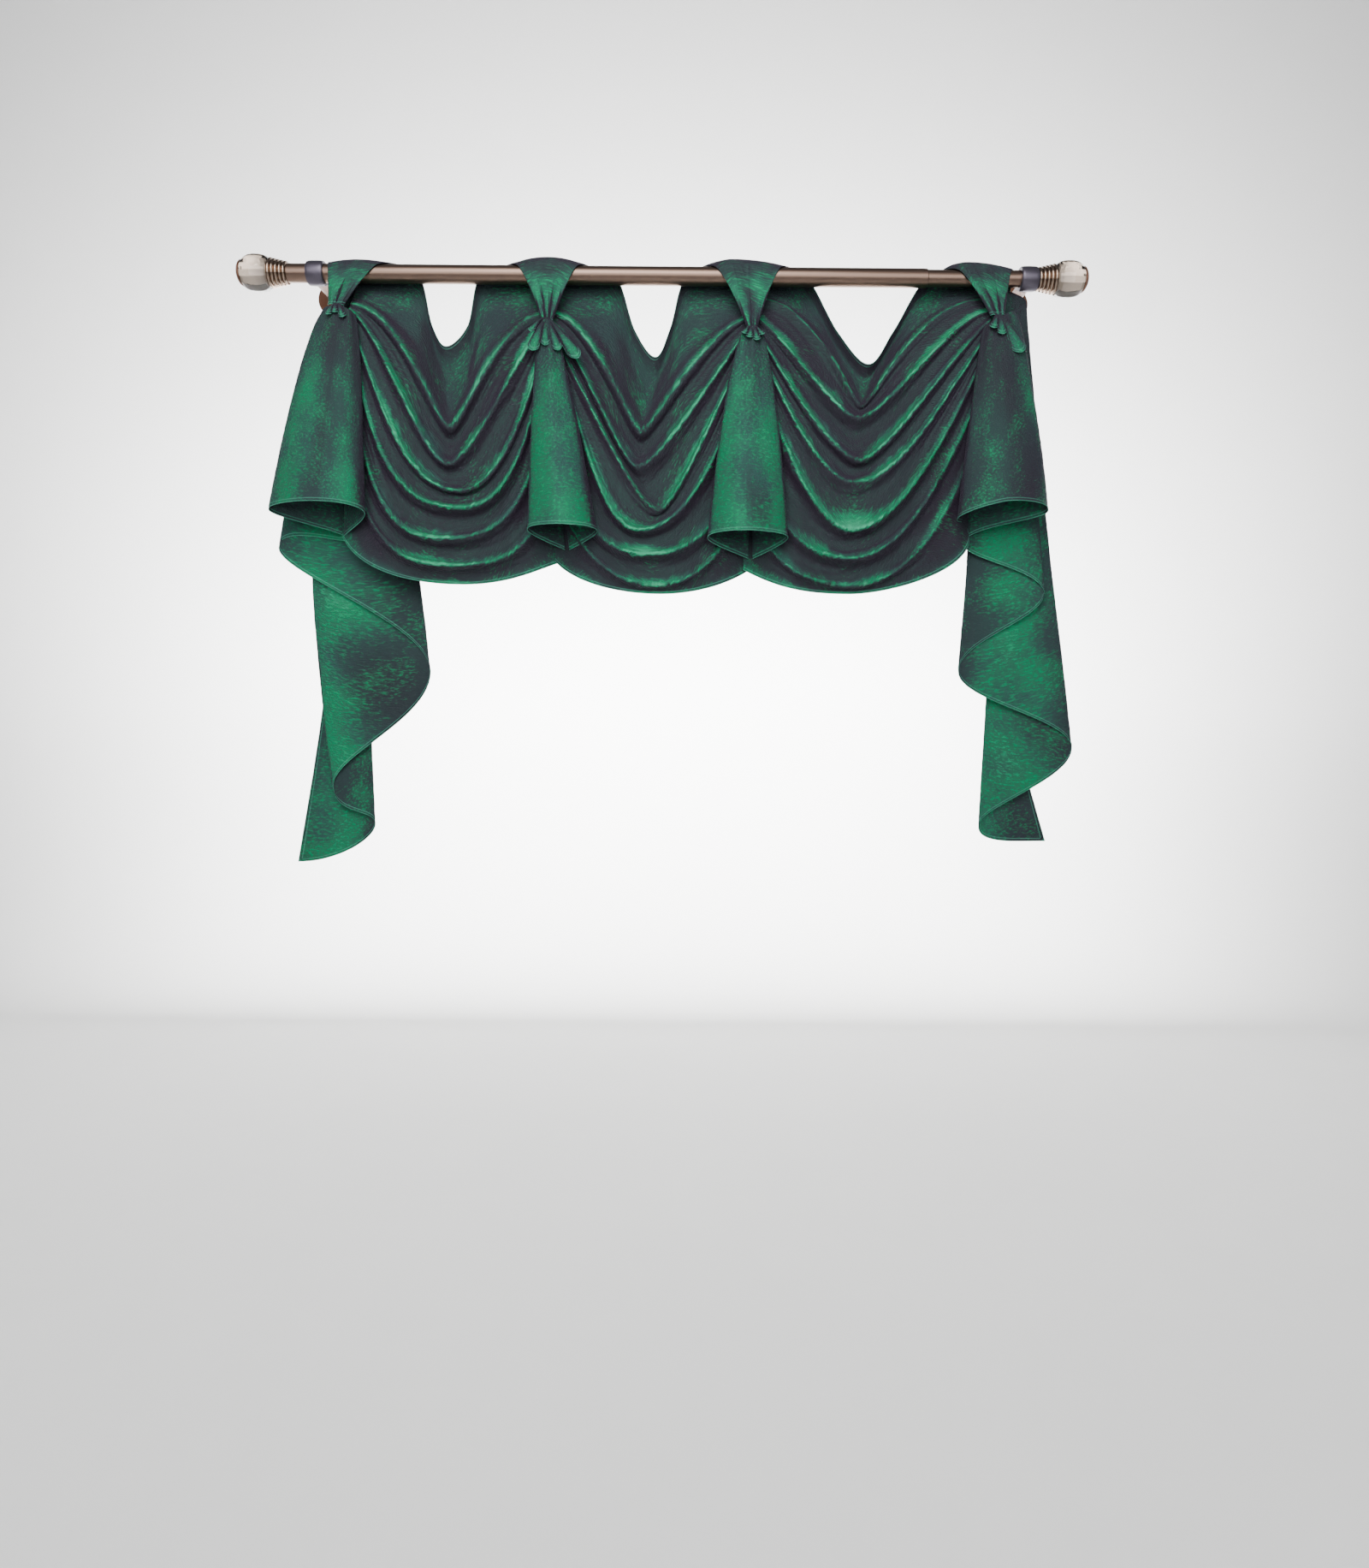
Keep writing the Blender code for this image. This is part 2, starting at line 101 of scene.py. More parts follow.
# Cloth
SEAM_GAP = 0.3              # from a gather's middle line to the edge of the cloth beside it
EDGE_DROP = -12.0           # where the swags' upper edge lies behind the rod and the tabs
EDGE_OUT = -17.3
TAB_BACK_DROP = 3.0         # where a tab ends behind the rod
KNOT_OUT = 20.0             # the gathered cloth in front of the rod
HEM_SEAM_OUT = 8.0          # the same line down at the hem
SEAM_RISE = 1.6             # above 1 the line stays back longer between the edge and the gather
SEAM_FALL = 0.7             # below 1 it goes back early between the gather and the hem
SEAM_LAP = 5.0              # how far neighbours lap at the hem, the right one in front
SEAM_LAP_OUT = 2.5
VALLEY_PLACE = 0.30         # how far below a fold its valley lies, of the way to the next
VALLEY_FADE = 0.7           # below 1 the valleys keep their depth close to the gathers
SHELF_PLACE = 0.74          # how far below a fold the cloth turns out towards the next
SHELF_DEPTH = 0.72          # depth there, of the valley's
TURN_DROP = 1.2             # how far down a turned fold of a tail runs, against an even curve
TURN_OUT = 1.3              # how round it is, against an even curve
CORNER_REACH = 3.0          # how far the hem runs level to a corner, against an even curve
HEM_ZONE = 9.0              # the last stretch above the hem, where the mesh is finest
HEM_LEVELS = 7
HEM_ROLL = 0.45             # how proud the doubled hem stands
STITCH_DENT = 0.3           # how deep its stitches pull in
STITCH_WIDTH = 0.9
LINES_A_FOLD = 3            # lines that shape a fold of a swag: its valley, its shelf and its crest

# Mesh steps of each kind of cloth, across and down: a swag's down each fold, a bell's and a tail's
# across each span between rows, and a fan's across each finger
SWAG_STEPS = (152, 24)
BELL_STEPS = (28, 90)
TAIL_STEPS = (24, 130)
TAB_STEPS = (84, 96)
FAN_STEPS = (16, 40)

# Relief of the cloth, how far it rises and over what length. Each HEIGHT is a multiple of the
# cloth's crinkle.
PINCH, PINCH_WIDTH = 1.7, 0.16              # a swag's crests, the width counted in its lines
PINCH_WANDER = 9.0                          # the crests' small bends
RIPPLE, RIPPLE_REACH = 1.3, 0.07            # gathers at its ends, the reach a share of its width
LONG_HEIGHT, LONG_CREASE = 2.6, 90.0        # creases along its folds
SHORT_HEIGHT, SHORT_CREASE = 0.9, (16.0, 13.0)
PLEAT, PLEAT_REACH = 2.0, 55.0              # a bell's or tail's pleats below its gather
SWELL, SWELL_LENGTH = 1.6, 160.0            # slow unevenness of its layers
FINE_HEIGHT, FINE_REACH = 1.2, 120.0        # fine creases below its gather
SLANT_HEIGHT, SLANT_CREASE = 0.7, 17.0      # slanting ones all the way down

# Painted light on the cloth, 0 to 1 for how green it is painted as if lit
CENTRE_WIDTH = 0.11                         # of a swag's middle, in shares of its width
BAND_WIDTH = 0.9                            # of the shine over a crest, in lines
BAND_WANDER = 60.0                          # length of its slow changes
CREST_LINE = 0.075                          # width of the fine bright line on a crest, in lines
PANEL_SHINE = 0.3                           # on the flat top of a swag
TAIL_TOP_SHINE, TAIL_LOW_SHINE = 0.34, 0.99
TAIL_SHINE_FALL = 200.0                     # how far down from the gather it grows
TAIL_LEAST, TAIL_MOST = 0.22, 0.98
TAB_BACK_SHINE, TAB_FRONT_SHINE = 0.15, 0.66
# Facing of the painted light: cloth that faces this way is painted greenest, as if lit
PAINTED_LIGHT_FACING = Vector((-0.08, -0.94, 0.30)).normalized()

Gather = namedtuple("Gather", "x drop hem_x hem_drop")
GATHERS = (
    Gather(55, 62, 50, 401),
    Gather(354, 76, 372, 436),
    Gather(660, 84, 655, 446),
    Gather(1021, 72, 978, 374),
)

# Each swag's upper edge lies behind the rod near its gathers and dips in a scoop between them.
Edge = namedtuple("Edge", "x drop")
SCOOPS = {
    "swag_left": (Edge(103, -12), Edge(150, -6), Edge(172, 72), Edge(194, 104), Edge(226, 72),
                  Edge(244, -4), Edge(298, -12)),
    "swag_middle": (Edge(404, -12), Edge(453, -6), Edge(483, 77), Edge(515, 118), Edge(537, 73),
                    Edge(560, -6), Edge(610, -12)),
    "swag_right": (Edge(704, -12), Edge(747, -6), Edge(795, 78), Edge(842, 126), Edge(880, 74),
                   Edge(927, -4), Edge(974, -12)),
}
SCOOP_OUT = -14.0           # how far out the lowest point of a scoop is
SCOOP_BACK = 18.0           # depth of the valley under it
SCOOP_END_BACK = 8.0        # the same at the gathers

# Each fold of a swag hangs from a drop at its left end to its lowest point and up to its right
# end. The angles are its slopes below level at the ends. Reach is how far it keeps that slope, and
# belly how flat its bottom is. Out is how far its lowest point stands out, and back how deep the
# valley under it is. Each swag's numbers before its folds are its left and right gathers.
Fold = namedtuple("Fold", "low_x low left right left_angle right_angle reach belly out back")
SWAGS = {
    "swag_left": (0, 1, (
        Fold(209, 237, 52, 64, 5, 0, 0.33, 0.15, 24, 14),
        Fold(211, 296, 62, 80, 30, 40, 0.20, 0.25, 38, 12),
        Fold(229, 337, 74, 90, 68, 75, 0.40, 0.50, 44, 9),
        Fold(232, 363, 88, 105, 80, 80, 0.65, 0.50, 50, 13),
        Fold(209, 409, 150, 180, 80, 80, 0.70, 0.52, 50, 12),
        Fold(216, 447, 230, 300, 82, 75, 0.62, 0.55, 44, 9),
        Fold(232, 474, 401, 436, 65, 17, 0.25, 0.50, 32, 0),
    )),
    "swag_middle": (1, 2, (
        Fold(495, 242, 60, 66, 10, 15, 0.32, 0.12, 24, 14),
        Fold(492, 298, 72, 80, 40, 52, 0.23, 0.20, 38, 12),
        Fold(522, 363, 84, 96, 60, 65, 0.30, 0.20, 42, 7),
        Fold(497, 393, 98, 112, 68, 75, 0.48, 0.45, 50, 13),
        Fold(509, 429, 240, 240, 75, 75, 0.62, 0.45, 50, 11),
        Fold(518, 474, 320, 330, 72, 70, 0.45, 0.45, 42, 6),
        Fold(524, 486, 436, 446, 50, 35, 0.22, 0.45, 34, 0),
    )),
    "swag_right": (2, 3, (
        Fold(828, 196, 30, 30, 0, 0, 0.43, 0.10, 6, 7),
        Fold(820, 220, 60, 54, 25, 0, 0.22, 0.22, 24, 13),
        Fold(817, 286, 76, 68, 60, 42, 0.30, 0.22, 38, 11),
        Fold(811, 320, 92, 84, 65, 55, 0.35, 0.35, 42, 8),
        Fold(805, 390, 120, 110, 72, 65, 0.45, 0.35, 50, 13),
        Fold(800, 433, 260, 180, 75, 65, 0.55, 0.38, 50, 11),
        Fold(802, 472, 340, 260, 72, 70, 0.50, 0.42, 42, 6),
        Fold(804, 484, 446, 374, 28, 130, 0.36, 0.42, 34, 0),
    )),
}

# Each row of a bell or tail is a line down the cloth, from its gather to the hem. A turn is a fold
# where the cloth doubles back, a face is the middle of a broad front, an end is an edge, and a
# corner is an edge that the hem runs level to. Spread below 1 opens the line out near the top, and
# bow bends it aside halfway down.
Row = namedtuple("Row", "kind top_x top top_out hem_x hem hem_out spread bow")
BELLS = {
    "bell_left": (
        Row("end", 353.4, 82, 21, 382, 419, 14, 1.0, 0),
        Row("turn", 343, 84, 27, 330, 394, 44, 0.4, 0),
        Row("face", 355, 80, 37, 382, 390, 78, 0.9, 0),
        Row("turn", 366, 84, 27, 432, 395, 44, 0.85, 0),
        Row("end", 354.6, 82, 21, 388, 419, 14, 1.0, 0),
    ),
    "bell_right": (
        Row("end", 659.4, 91, 20.8, 658, 430, 14, 1.0, 0),
        Row("turn", 649, 92, 27, 596, 403, 44, 0.6, 0),
        Row("face", 660, 88, 37, 650, 397, 78, 0.9, 0),
        Row("turn", 671, 92, 27, 714, 403, 44, 0.57, 0),
        Row("end", 660.6, 91, 20.8, 664, 430, 14, 1.0, 0),
    ),
}
TAILS = {
    "tail_left": (
        Row("end", 54.6, 68, 21, 49, 400, 12, 1.0, 0),
        Row("turn", 66, 70, 27, 89, 370, 42, 0.6, 0),
        Row("face", 50, 62, 36, 33, 359, 76, 0.8, 0),
        Row("turn", 30, 60, 27, -54, 367, 40, 0.58, 0),
        Row("turn", 60, 66, 12, 53, 404, 0, 1.0, 0),
        Row("turn", 30, 62, 5, -59, 416, -10, 0.7, 0),
        Row("turn", 68, 66, -2, 172, 603, -22, 0.6, 0),
        Row("turn", 30, 40, -10, 19, 782, -34, 1.0, -36),
        Row("turn", 52, 0, -17.1, 81, 841, -46, 1.0, 0),
        Row("corner", 18, -2, -17.1, -44, 904, -58, 1.0, 32),
    ),
    "tail_right": (
        Row("end", 1021.4, 80, 20.8, 979, 372, 12, 1.0, 0),
        Row("turn", 1008, 82, 27, 966, 371, 42, 0.8, 0),
        Row("face", 1024, 74, 36, 1032, 351, 76, 0.8, 0),
        Row("turn", 1046, 60, 27, 1098, 360, 40, 0.56, 0),
        Row("turn", 1012, 78, 9, 985, 402, 0, 1.0, 0),
        Row("turn", 1048, 58, 5, 1112, 478, -10, 0.6, 0),
        Row("turn", 1006, 70, -2, 985, 596, -22, 0.8, 5),
        Row("turn", 1080, 30, -9, 1166, 715, -34, 1.1, 0),
        Row("turn", 1024, 0, -15.7, 1025, 837, -46, 1.0, 12),
        Row("corner", 1061, -2, -15.7, 1134, 862, -58, 1.0, -62),
    ),
}

# Painted light on each span between rows: how bright the painted lit band is, and the middle and
# half-width of the band in shares of the span
Shine = namedtuple("Shine", "level middle half_width")
DIM = Shine(0.3, 0.5, 0.6)
SHINES = {
    "bell_left": (DIM, Shine(1.0, 0.5, 0.9), Shine(0.9, 0.35, 0.9), DIM),
    "bell_right": (DIM, Shine(0.9, 0.6, 0.7), Shine(0.95, 0.5, 0.9), DIM),
    "tail_left": (DIM, Shine(0.42, 0.5, 0.9), Shine(0.9, 0.5, 0.4), DIM, Shine(0.8, 0.5, 0.6),
                  Shine(0.95, 0.25, 0.3), Shine(1.0, 0.8, 0.3), Shine(0.2, 0.5, 0.6),
                  Shine(0.95, 0.62, 0.4)),
    "tail_right": (DIM, Shine(0.1, 0.5, 0.9), Shine(0.5, 0.85, 0.35), DIM, Shine(0.95, 0.45, 0.35),
                   Shine(0.45, 0.3, 0.4), Shine(1.0, 0.5, 0.25), Shine(0.95, 0.75, 0.3),
                   Shine(0.8, 0.2, 0.35)),
}

# Each tab goes over the rod and narrows to its gather. Peak is where it stands highest, and rise
# how much.
Tab = namedtuple("Tab", "left right peak rise knot_left knot_right knot_drop rod_radius pleats")
TABS = {
    "tab_1": Tab(17, 120, 70, 5, 28, 50, 58.6, OUTER_RADIUS, 2),
    "tab_2": Tab(289, 412, 351, 11, 348, 361, 82, OUTER_RADIUS, 3),
    "tab_3": Tab(586, 718, 628, 10, 654, 666, 90, OUTER_RADIUS, 2),
    "tab_4": Tab(952, 1058, 981, 10, 1016, 1036, 66, INNER_RADIUS, 3),
}
TAB_CLEARANCE = 0.8         # from the rod to the cloth over it
TAB_ROD_SHARE = 0.62        # share of a tab's facets that go round the rod
TAB_PLEAT_DEPTH = 3.5
TAB_PLEAT_ROUND = 0.7       # below 1 the pleats are broad with narrow valleys
TAB_NARROWING = 0.6         # below 1 the tab narrows early on its way down
TAB_KNOT_OUT = 27.0

# Each fan is the finger pleats under a gather: where it starts, for each finger its angle from
# straight down, in degrees to the right, and its length, and the area of the cloth in square
# metres.
Fan = namedtuple("Fan", "x drop out fingers area")
Finger = namedtuple("Finger", "angle length")
FANS = {
    "pleats_1": Fan(42, 57, 31, (Finger(-20, 22), Finger(0, 18), Finger(20, 26)), 0.0006),
    "pleats_2": Fan(353, 76, 33, (Finger(-38, 30), Finger(-18, 56), Finger(3, 46), Finger(20, 56),
                                  Finger(36, 78)), 0.0031),
    "pleats_3": Fan(660, 86, 33, (Finger(-34, 18), Finger(-10, 22), Finger(14, 26), Finger(36, 20)),
                    0.0007),
    "pleats_4": Fan(1026, 66, 33, (Finger(-18, 26), Finger(4, 34), Finger(25, 66)), 0.0017),
}
FAN_HALF_WIDTH = 5.0        # of a fan at its gather
FINGER_RISE = 8.0           # how far the fingers stand out from the cloth below
FINGER_RIDGE = 4.5          # how high each finger is
FINGER_ROUND = 0.6          # below 1 the fingers are broad with narrow valleys

# Stage, in metres
BACKDROP_LEFT, BACKDROP_WIDTH = -6.0, 13.0
BACKDROP_FRONT, BACKDROP_BACK, BACKDROP_TOP = -7.0, 3.2, 4.5
COVE_RADIUS = 1.2
WORLD_COLOUR, WORLD_STRENGTH = "#cfd2d8", 0.25
# Each lamp is a soft panel of so wide and high a size. Share is its power as a share of the key's.
Lamp = namedtuple("Lamp", "name place target size share")
LAMPS = (
    Lamp("key", (0.2, -2.3, 1.35), (0.5, -0.1, -0.35), (1.5, 1.5), 1),
    Lamp("strip", (0.5, -1.8, 0.2), (0.5, -0.1, 0.0), (3.0, 1.2), 0.55),
    Lamp("backdrop_wash", (0.5, 1.4, -0.7), (0.5, 3.2, 0.4), (4.0, 1.6), 12),
)
CAMERA_PLACE = (0.5634, -1.59, -0.6151)
CAMERA_ROLL = 0.0081        # radians
CAMERA_SENSOR = 36.0        # millimetres
VIEW_WIDTH, VIEW_DISTANCE = 2.08, 1.5       # what the frame holds, and how far from the lens
CAMERA_SHIFT = -0.0725


def colour_property(name, description, code):
    """Colour that the panel shows, from an sRGB hex value."""
    return FloatVectorProperty(name=name, description=description, subtype="COLOR", size=3,
                               min=0.0, max=1.0, default=linear(code))


def size_property(name, description, default, low, high):
    """Small length that the panel shows, from millimetres."""
    return FloatProperty(name=name, description=description, default=default * MM, min=low * MM,
                         max=high * MM, unit="LENGTH", precision=5)


class DrapeCloth(bpy.types.PropertyGroup):
    """Cloth of the swags, bells, tails and tabs."""
    thickness: size_property("Thickness", "Thickness of the taffeta", 0.8, 0.2, 3)
    hem_width: size_property("Hem width", "Width of the narrow stitched hem", 4.5, 2, 20)
    crinkle: size_property("Crinkle", "Height of the small creases in the cloth", 0.6, 0, 3)
    # Warp: painted shade, the dark yarn's colour where the cloth faces away from the fixed light
    warp_shade_colour: colour_property("Warp", "Yarn that shows in the hollows", "#302733")
    # Both yarns: painted half light, where the cloth faces partly towards the fixed light
    half_lit_colour: colour_property(
        "Both yarns", "Warp and weft together, where neither stands out", "#314847")
    # Weft: painted light, the green yarn's colour where the cloth faces the fixed light
    weft_lit_colour: colour_property("Weft", "Yarn that shows on the lit faces", "#08794b")
    # Crests: painted highlight along the backs of folds
    crest_highlight_colour: colour_property("Crests", "Weft on the sharp backs of folds", "#3fa27a")
    # Hem edge: a paler colour along the hem's edge and its stitch line
    hem_colour: colour_property("Hem edge", "Worn edge and stitching of the hem", "#4f9b82")


class DrapeHardware(bpy.types.PropertyGroup):
    """Rod, brackets and finials."""
    round_steps: IntProperty(
        name="Round steps", description="Facets round a turned piece", default=72, min=24, max=192)
    glass_facets: IntProperty(
        name="Glass facets", description="Cut facets round each glass finial", default=12,
        min=6, max=32)
    nickel_colour: colour_property("Nickel", "Brushed tubes of the rod", "#7d685c")
    polished_colour: colour_property("Polished nickel", "Turned rings of the finials", "#a38f80")
    copper_colour: colour_property("Copper lacquer", "Wall plates, stems and end caps", "#74503f")
    pewter_colour: colour_property("Pewter", "Painted bracket collars", "#5a5560")
    # Glass: partly the glass's faint tint, partly a painted darker room seen through it
    glass_and_room_tint: colour_property("Glass", "Clear glass of the finials", "#877b70")


class DrapeStage(bpy.types.PropertyGroup):
    """Floor, backdrop, lights and camera."""
    floor_below: FloatProperty(
        name="Floor below rod", description="How far the floor lies below the rod", default=1.9,
        min=1.0, max=3.0, unit="LENGTH")
    key_power: FloatProperty(
        name="Key light", description="Power of the soft light in front and above", default=60.0,
        min=0.0, max=1000.0, unit="POWER")
    floor_colour: colour_property("Floor", "Plain pale floor and backdrop", "#f3f3f2")


# --- Working with curves and places ---------------------------------------------------------------

def place(x, drop, out):
    """World position of a place given in the workroom's terms."""
    return Vector((x * MM, -(ROD_FROM_WALL + out) * MM, (ROD_ABOVE_PLATE - drop) * MM))


def mix(first, second, share):
    return first + (second - first) * share


def smooth(share):
    """0 to 1 with level ends."""
    share = min(max(share, 0.0), 1.0)
    return share * share * (3.0 - 2.0 * share)


def hermite(start, end, start_slope, end_slope, share):
    """Curve from start to end with the given slopes there."""
    square = share * share
    cube = square * share
    return (start * (2 * cube - 3 * square + 1) + start_slope * (cube - 2 * square + share)
            + end * (3 * square - 2 * cube) + end_slope * (cube - square))


def through(points, where):
    """Smooth curve through points, read at where, counted in points from 0."""
    last = len(points) - 1
    index = min(int(where), last - 1)
    before = points[max(index - 1, 0)]
    after = points[min(index + 2, last)]
    start, end = points[index], points[index + 1]
    return hermite(start, end, (end - before) * 0.5, (after - start) * 0.5, where - index)


def fade(distance, length):
    """1 at no distance, falling off over length."""
    return math.exp(-abs(distance) / length)


def crease(across, along, seed):
    """Sharp-backed creases, 0 to 1, from places counted in crease widths."""
    return (1.0 - abs(noise.noise(Vector((across, along, seed))))) ** 4


# --- Finishes -------------------------------------------------------------------------------------

def node(tree, kind, sockets=None, **settings):
    """Adds a node, with its settings, and sets or links its sockets."""
    item = tree.nodes.new(kind)
    for name, value in settings.items():
        setattr(item, name, value)
    for socket, value in (sockets or {}).items():
        if isinstance(value, bpy.types.NodeSocket):
            tree.links.new(value, item.inputs[socket])
        else:
            item.inputs[socket].default_value = value
    return item


def texture(tree, place_on, scale, detail, stretch=None, **sockets):
    """Noise from 0 to 1 over a surface, which stretch scales unevenly first."""
    if stretch:
        place_on = node(tree, "ShaderNodeMapping",
                        {"Vector": place_on, "Scale": stretch}).outputs["Vector"]
    return node(tree, "ShaderNodeTexNoise", {"Vector": place_on, "Scale": scale, "Detail": detail,
                                             **sockets}).outputs["Fac"]


def attribute(tree, name):
    return node(tree, "ShaderNodeAttribute", attribute_name=name).outputs["Fac"]


def maths(tree, operation, *values):
    return node(tree, "ShaderNodeMath", dict(enumerate(values)), operation=operation).outputs[0]


def ramp(tree, value, start, end, low=0.0, high=1.0):
    """Low to high as value goes from start to end."""
    return node(tree, "ShaderNodeMapRange", {"Value": value, "From Min": start, "From Max": end,
                                             "To Min": low, "To Max": high}).outputs[0]


def blend(tree, share, first, second):
    """Colour between first, a colour or a socket, and second, a colour."""
    if not isinstance(first, bpy.types.NodeSocket):
        first = (*first, 1.0)
    return node(tree, "ShaderNodeMix", {0: share, 6: first, 7: (*second, 1.0)},
                data_type="RGBA").outputs[2]


def new_finish(name, colour=None, **sockets):
    """Material with its shader's fixed values; a double underscore stands for a space."""
    material = bpy.data.materials.new(name)
    material.use_nodes = True
    tree = material.node_tree
    shader = tree.nodes["Principled BSDF"]
    if colour is not None:
        sockets["Base__Color"] = (*colour, 1.0)
    for socket, value in sockets.items():
        shader.inputs[socket.replace("__", " ")].default_value = value
    return material, tree, shader


def on_object(tree):
    """The piece's own coordinates, in metres."""
    return node(tree, "ShaderNodeTexCoord").outputs["Object"]


def uneven_gloss(tree, shader, value, low, high):
    """Roughness from low to high over the middle of a texture's values."""
    tree.links.new(ramp(tree, value, 0.3, 0.7, low, high), shader.inputs["Roughness"])


def uneven_face(tree, shader, height, strength, depth):
    """Bump of so many millimetres."""
    bump = node(tree, "ShaderNodeBump", {"Height": height, "Strength": strength,
                                         "Distance": depth * MM})
    tree.links.new(bump.outputs["Normal"], shader.inputs["Normal"])


def shot_taffeta(cloth):
    """Polyester taffeta woven plain with a dark warp and a green weft, dyed in the yarn.

    The green where it faces the light and the purple-black in its hollows are painted light and
    shade, set by how each spot faces a fixed light, with a painted highlight on the crests. The
    cloth has a crisp sheen, thick slubs in the weft and fine crackled creases."""
    material, tree, shader = new_finish(
        "shot taffeta", Roughness=0.42, Metallic=0.0, IOR=1.6,
        Specular__Tint=(0.08, 1.0, 0.55, 1.0), Sheen__Weight=0.14, Sheen__Roughness=0.45,
        Sheen__Tint=(0.30, 0.25, 0.38, 1.0))
    surface = node(tree, "ShaderNodeUVMap", uv_map="cloth").outputs["UV"]
    # Slubs: real ones are 0.3 mm across, drawn 2.5 mm across so that they show.
    slubs = texture(tree, surface, 1.0, 2.0, stretch=(140, 420, 1))
    yarns = texture(tree, surface, 1.0, 1.0, stretch=(420, 40, 1))
    # Crackled creases about 6 mm by 3 mm
    crackle = texture(tree, surface, 1.0, 3.0, stretch=(160, 300, 1), Roughness=0.65,
                      Distortion=0.2)
    # Clouds about 70 mm wide, where more of one yarn shows
    clouds = texture(tree, surface, 16.0, 4.0)

    # The attribute read here is painted light and shade: how green the cloth is painted where it
    # faces a fixed light.
    turned = attribute(tree, "turned")
    # Painted light patches: the painted light and shade, broken up by clouds and crackle
    patchy_light = maths(tree, "MULTIPLY_ADD", clouds, 2.2, turned)
    patchy_light = maths(tree, "MULTIPLY_ADD", crackle, 2.0, patchy_light)
    ridged = maths(tree, "ABSOLUTE", maths(tree, "SUBTRACT", crackle, 0.5))
    weft = maths(tree, "MULTIPLY", ramp(tree, patchy_light, 2.4, 3.2),
                 ramp(tree, ridged, 0.0, 0.08, low=0.2))
    # Painted highlight on the crests, where the painted light is strongest
    crest = ramp(tree, maths(tree, "MULTIPLY_ADD", crackle, 1.4, turned), 1.7, 2.6, high=0.8)
    # Painted shade to half light, then the painted lit green, then the painted crest highlight
    colour = blend(tree, ramp(tree, turned, 0.1, 0.7), cloth.warp_shade_colour, cloth.half_lit_colour)
    colour = blend(tree, weft, colour, cloth.weft_lit_colour)
    colour = blend(tree, crest, colour, cloth.crest_highlight_colour)
    tree.links.new(ramp(tree, weft, 0.0, 1.0, 0.15, 0.55), shader.inputs["Specular IOR Level"])

    # The hem attribute is the distance to the hem in millimetres.
    hem = attribute(tree, "hem")
    off_stitch = maths(tree, "ABSOLUTE", maths(tree, "SUBTRACT", hem, cloth.hem_width / MM))
    # Paler colour along the hem's edge and along its stitch line
    pale_hem = maths(tree, "MAXIMUM", ramp(tree, hem, 0.4, 1.4, 0.75, 0.0),
                 ramp(tree, off_stitch, 0.3, 0.9, 0.45, 0.0))
    tree.links.new(blend(tree, pale_hem, colour, cloth.hem_colour), shader.inputs["Base Color"])

    uneven_gloss(tree, shader, yarns, 0.38, 0.5)
    height = maths(tree, "MULTIPLY_ADD", yarns, 0.15, maths(tree, "MULTIPLY", slubs, 0.35))
    uneven_face(tree, shader, maths(tree, "ADD", crackle, height), 1.0, 1.6)
    return material


def polished_nickel(hardware):
    """Turned brass plated with nickel and buffed.

    It gives the eye bright rings with dark lines between them and a little blur."""
    material, tree, shader = new_finish("polished nickel", hardware.polished_colour, Metallic=1.0,
                                        Roughness=0.2)
    uneven_gloss(tree, shader, texture(tree, on_object(tree), 300.0, 2.0), 0.14, 0.24)
    return material


def brushed_nickel(hardware):
    """Steel tube plated with dark nickel and brushed lengthwise.

    It gives the eye soft bands of light along the tube, broken by hair-fine lines."""
    material, tree, shader = new_finish("brushed nickel", hardware.nickel_colour, Metallic=1.0,
                                        Roughness=0.28)
    # Brush lines: real ones are 0.1 mm apart, drawn 0.5 mm apart so that they show.
    brushed = texture(tree, on_object(tree), 1.0, 2.0, stretch=(4, 2000, 2000))
    uneven_gloss(tree, shader, brushed, 0.31, 0.36)
    return material


def copper_lacquer(hardware):
    """Cast zinc under a satin lacquer tinted copper brown.

    It gives the eye a warm brown with small bright glints and a faint cast grain."""
    material, tree, shader = new_finish("copper lacquer", hardware.copper_colour, Metallic=0.35,
                                        Roughness=0.3)
    uneven_face(tree, shader, texture(tree, on_object(tree), 400.0, 3.0), 0.3, 0.3)
    return material


def dark_pewter(hardware):
    """Die-cast collar under a satin coat of dark metallic paint.

    It gives the eye a flat grey-violet with a broad soft shine and a faint cast grain."""
    material, tree, shader = new_finish("dark pewter", hardware.pewter_colour, Metallic=0.8,
                                        Roughness=0.4)
    cast = texture(tree, on_object(tree), 600.0, 3.0)
    uneven_gloss(tree, shader, cast, 0.34, 0.46)
    uneven_face(tree, shader, cast, 0.2, 0.2)
    return material


def cut_glass(hardware):
    """Clear pressed glass, cut and polished in facets.

    It gives the eye bright broken glints and bent views of what is behind. Its tint is darker than
    clear glass and stands in for a darker room seen through it, painted into the glass."""
    material, tree, shader = new_finish("cut glass", hardware.glass_and_room_tint, Roughness=0.03,
                                        IOR=1.5, Transmission__Weight=1.0)
    uneven_face(tree, shader, texture(tree, on_object(tree), 90.0, 1.0), 0.15, 0.5)
    return material


def matt_paint(stage):
    """Studio floor and backdrop in matt emulsion, rolled on.

    It gives the eye an even pale ground with no shine and the faintest mottle."""
    material, tree, shader = new_finish("matt emulsion", Roughness=0.9,
                                        Specular__IOR__Level=0.2)
    shade = [channel * 0.97 for channel in stage.floor_colour]
    colour = blend(tree, texture(tree, on_object(tree), 6.0, 2.0), shade, stage.floor_colour)
    tree.links.new(colour, shader.inputs["Base Color"])
    return material


def finish(make, settings):
    """The material that make gives, made once."""
    name = {shot_taffeta: "shot taffeta", brushed_nickel: "brushed nickel",
            polished_nickel: "polished nickel", copper_lacquer: "copper lacquer",
            dark_pewter: "dark pewter", cut_glass: "cut glass", matt_paint: "matt emulsion"}[make]
    return bpy.data.materials.get(name) or make(settings)


# --- Making pieces --------------------------------------------------------------------------------

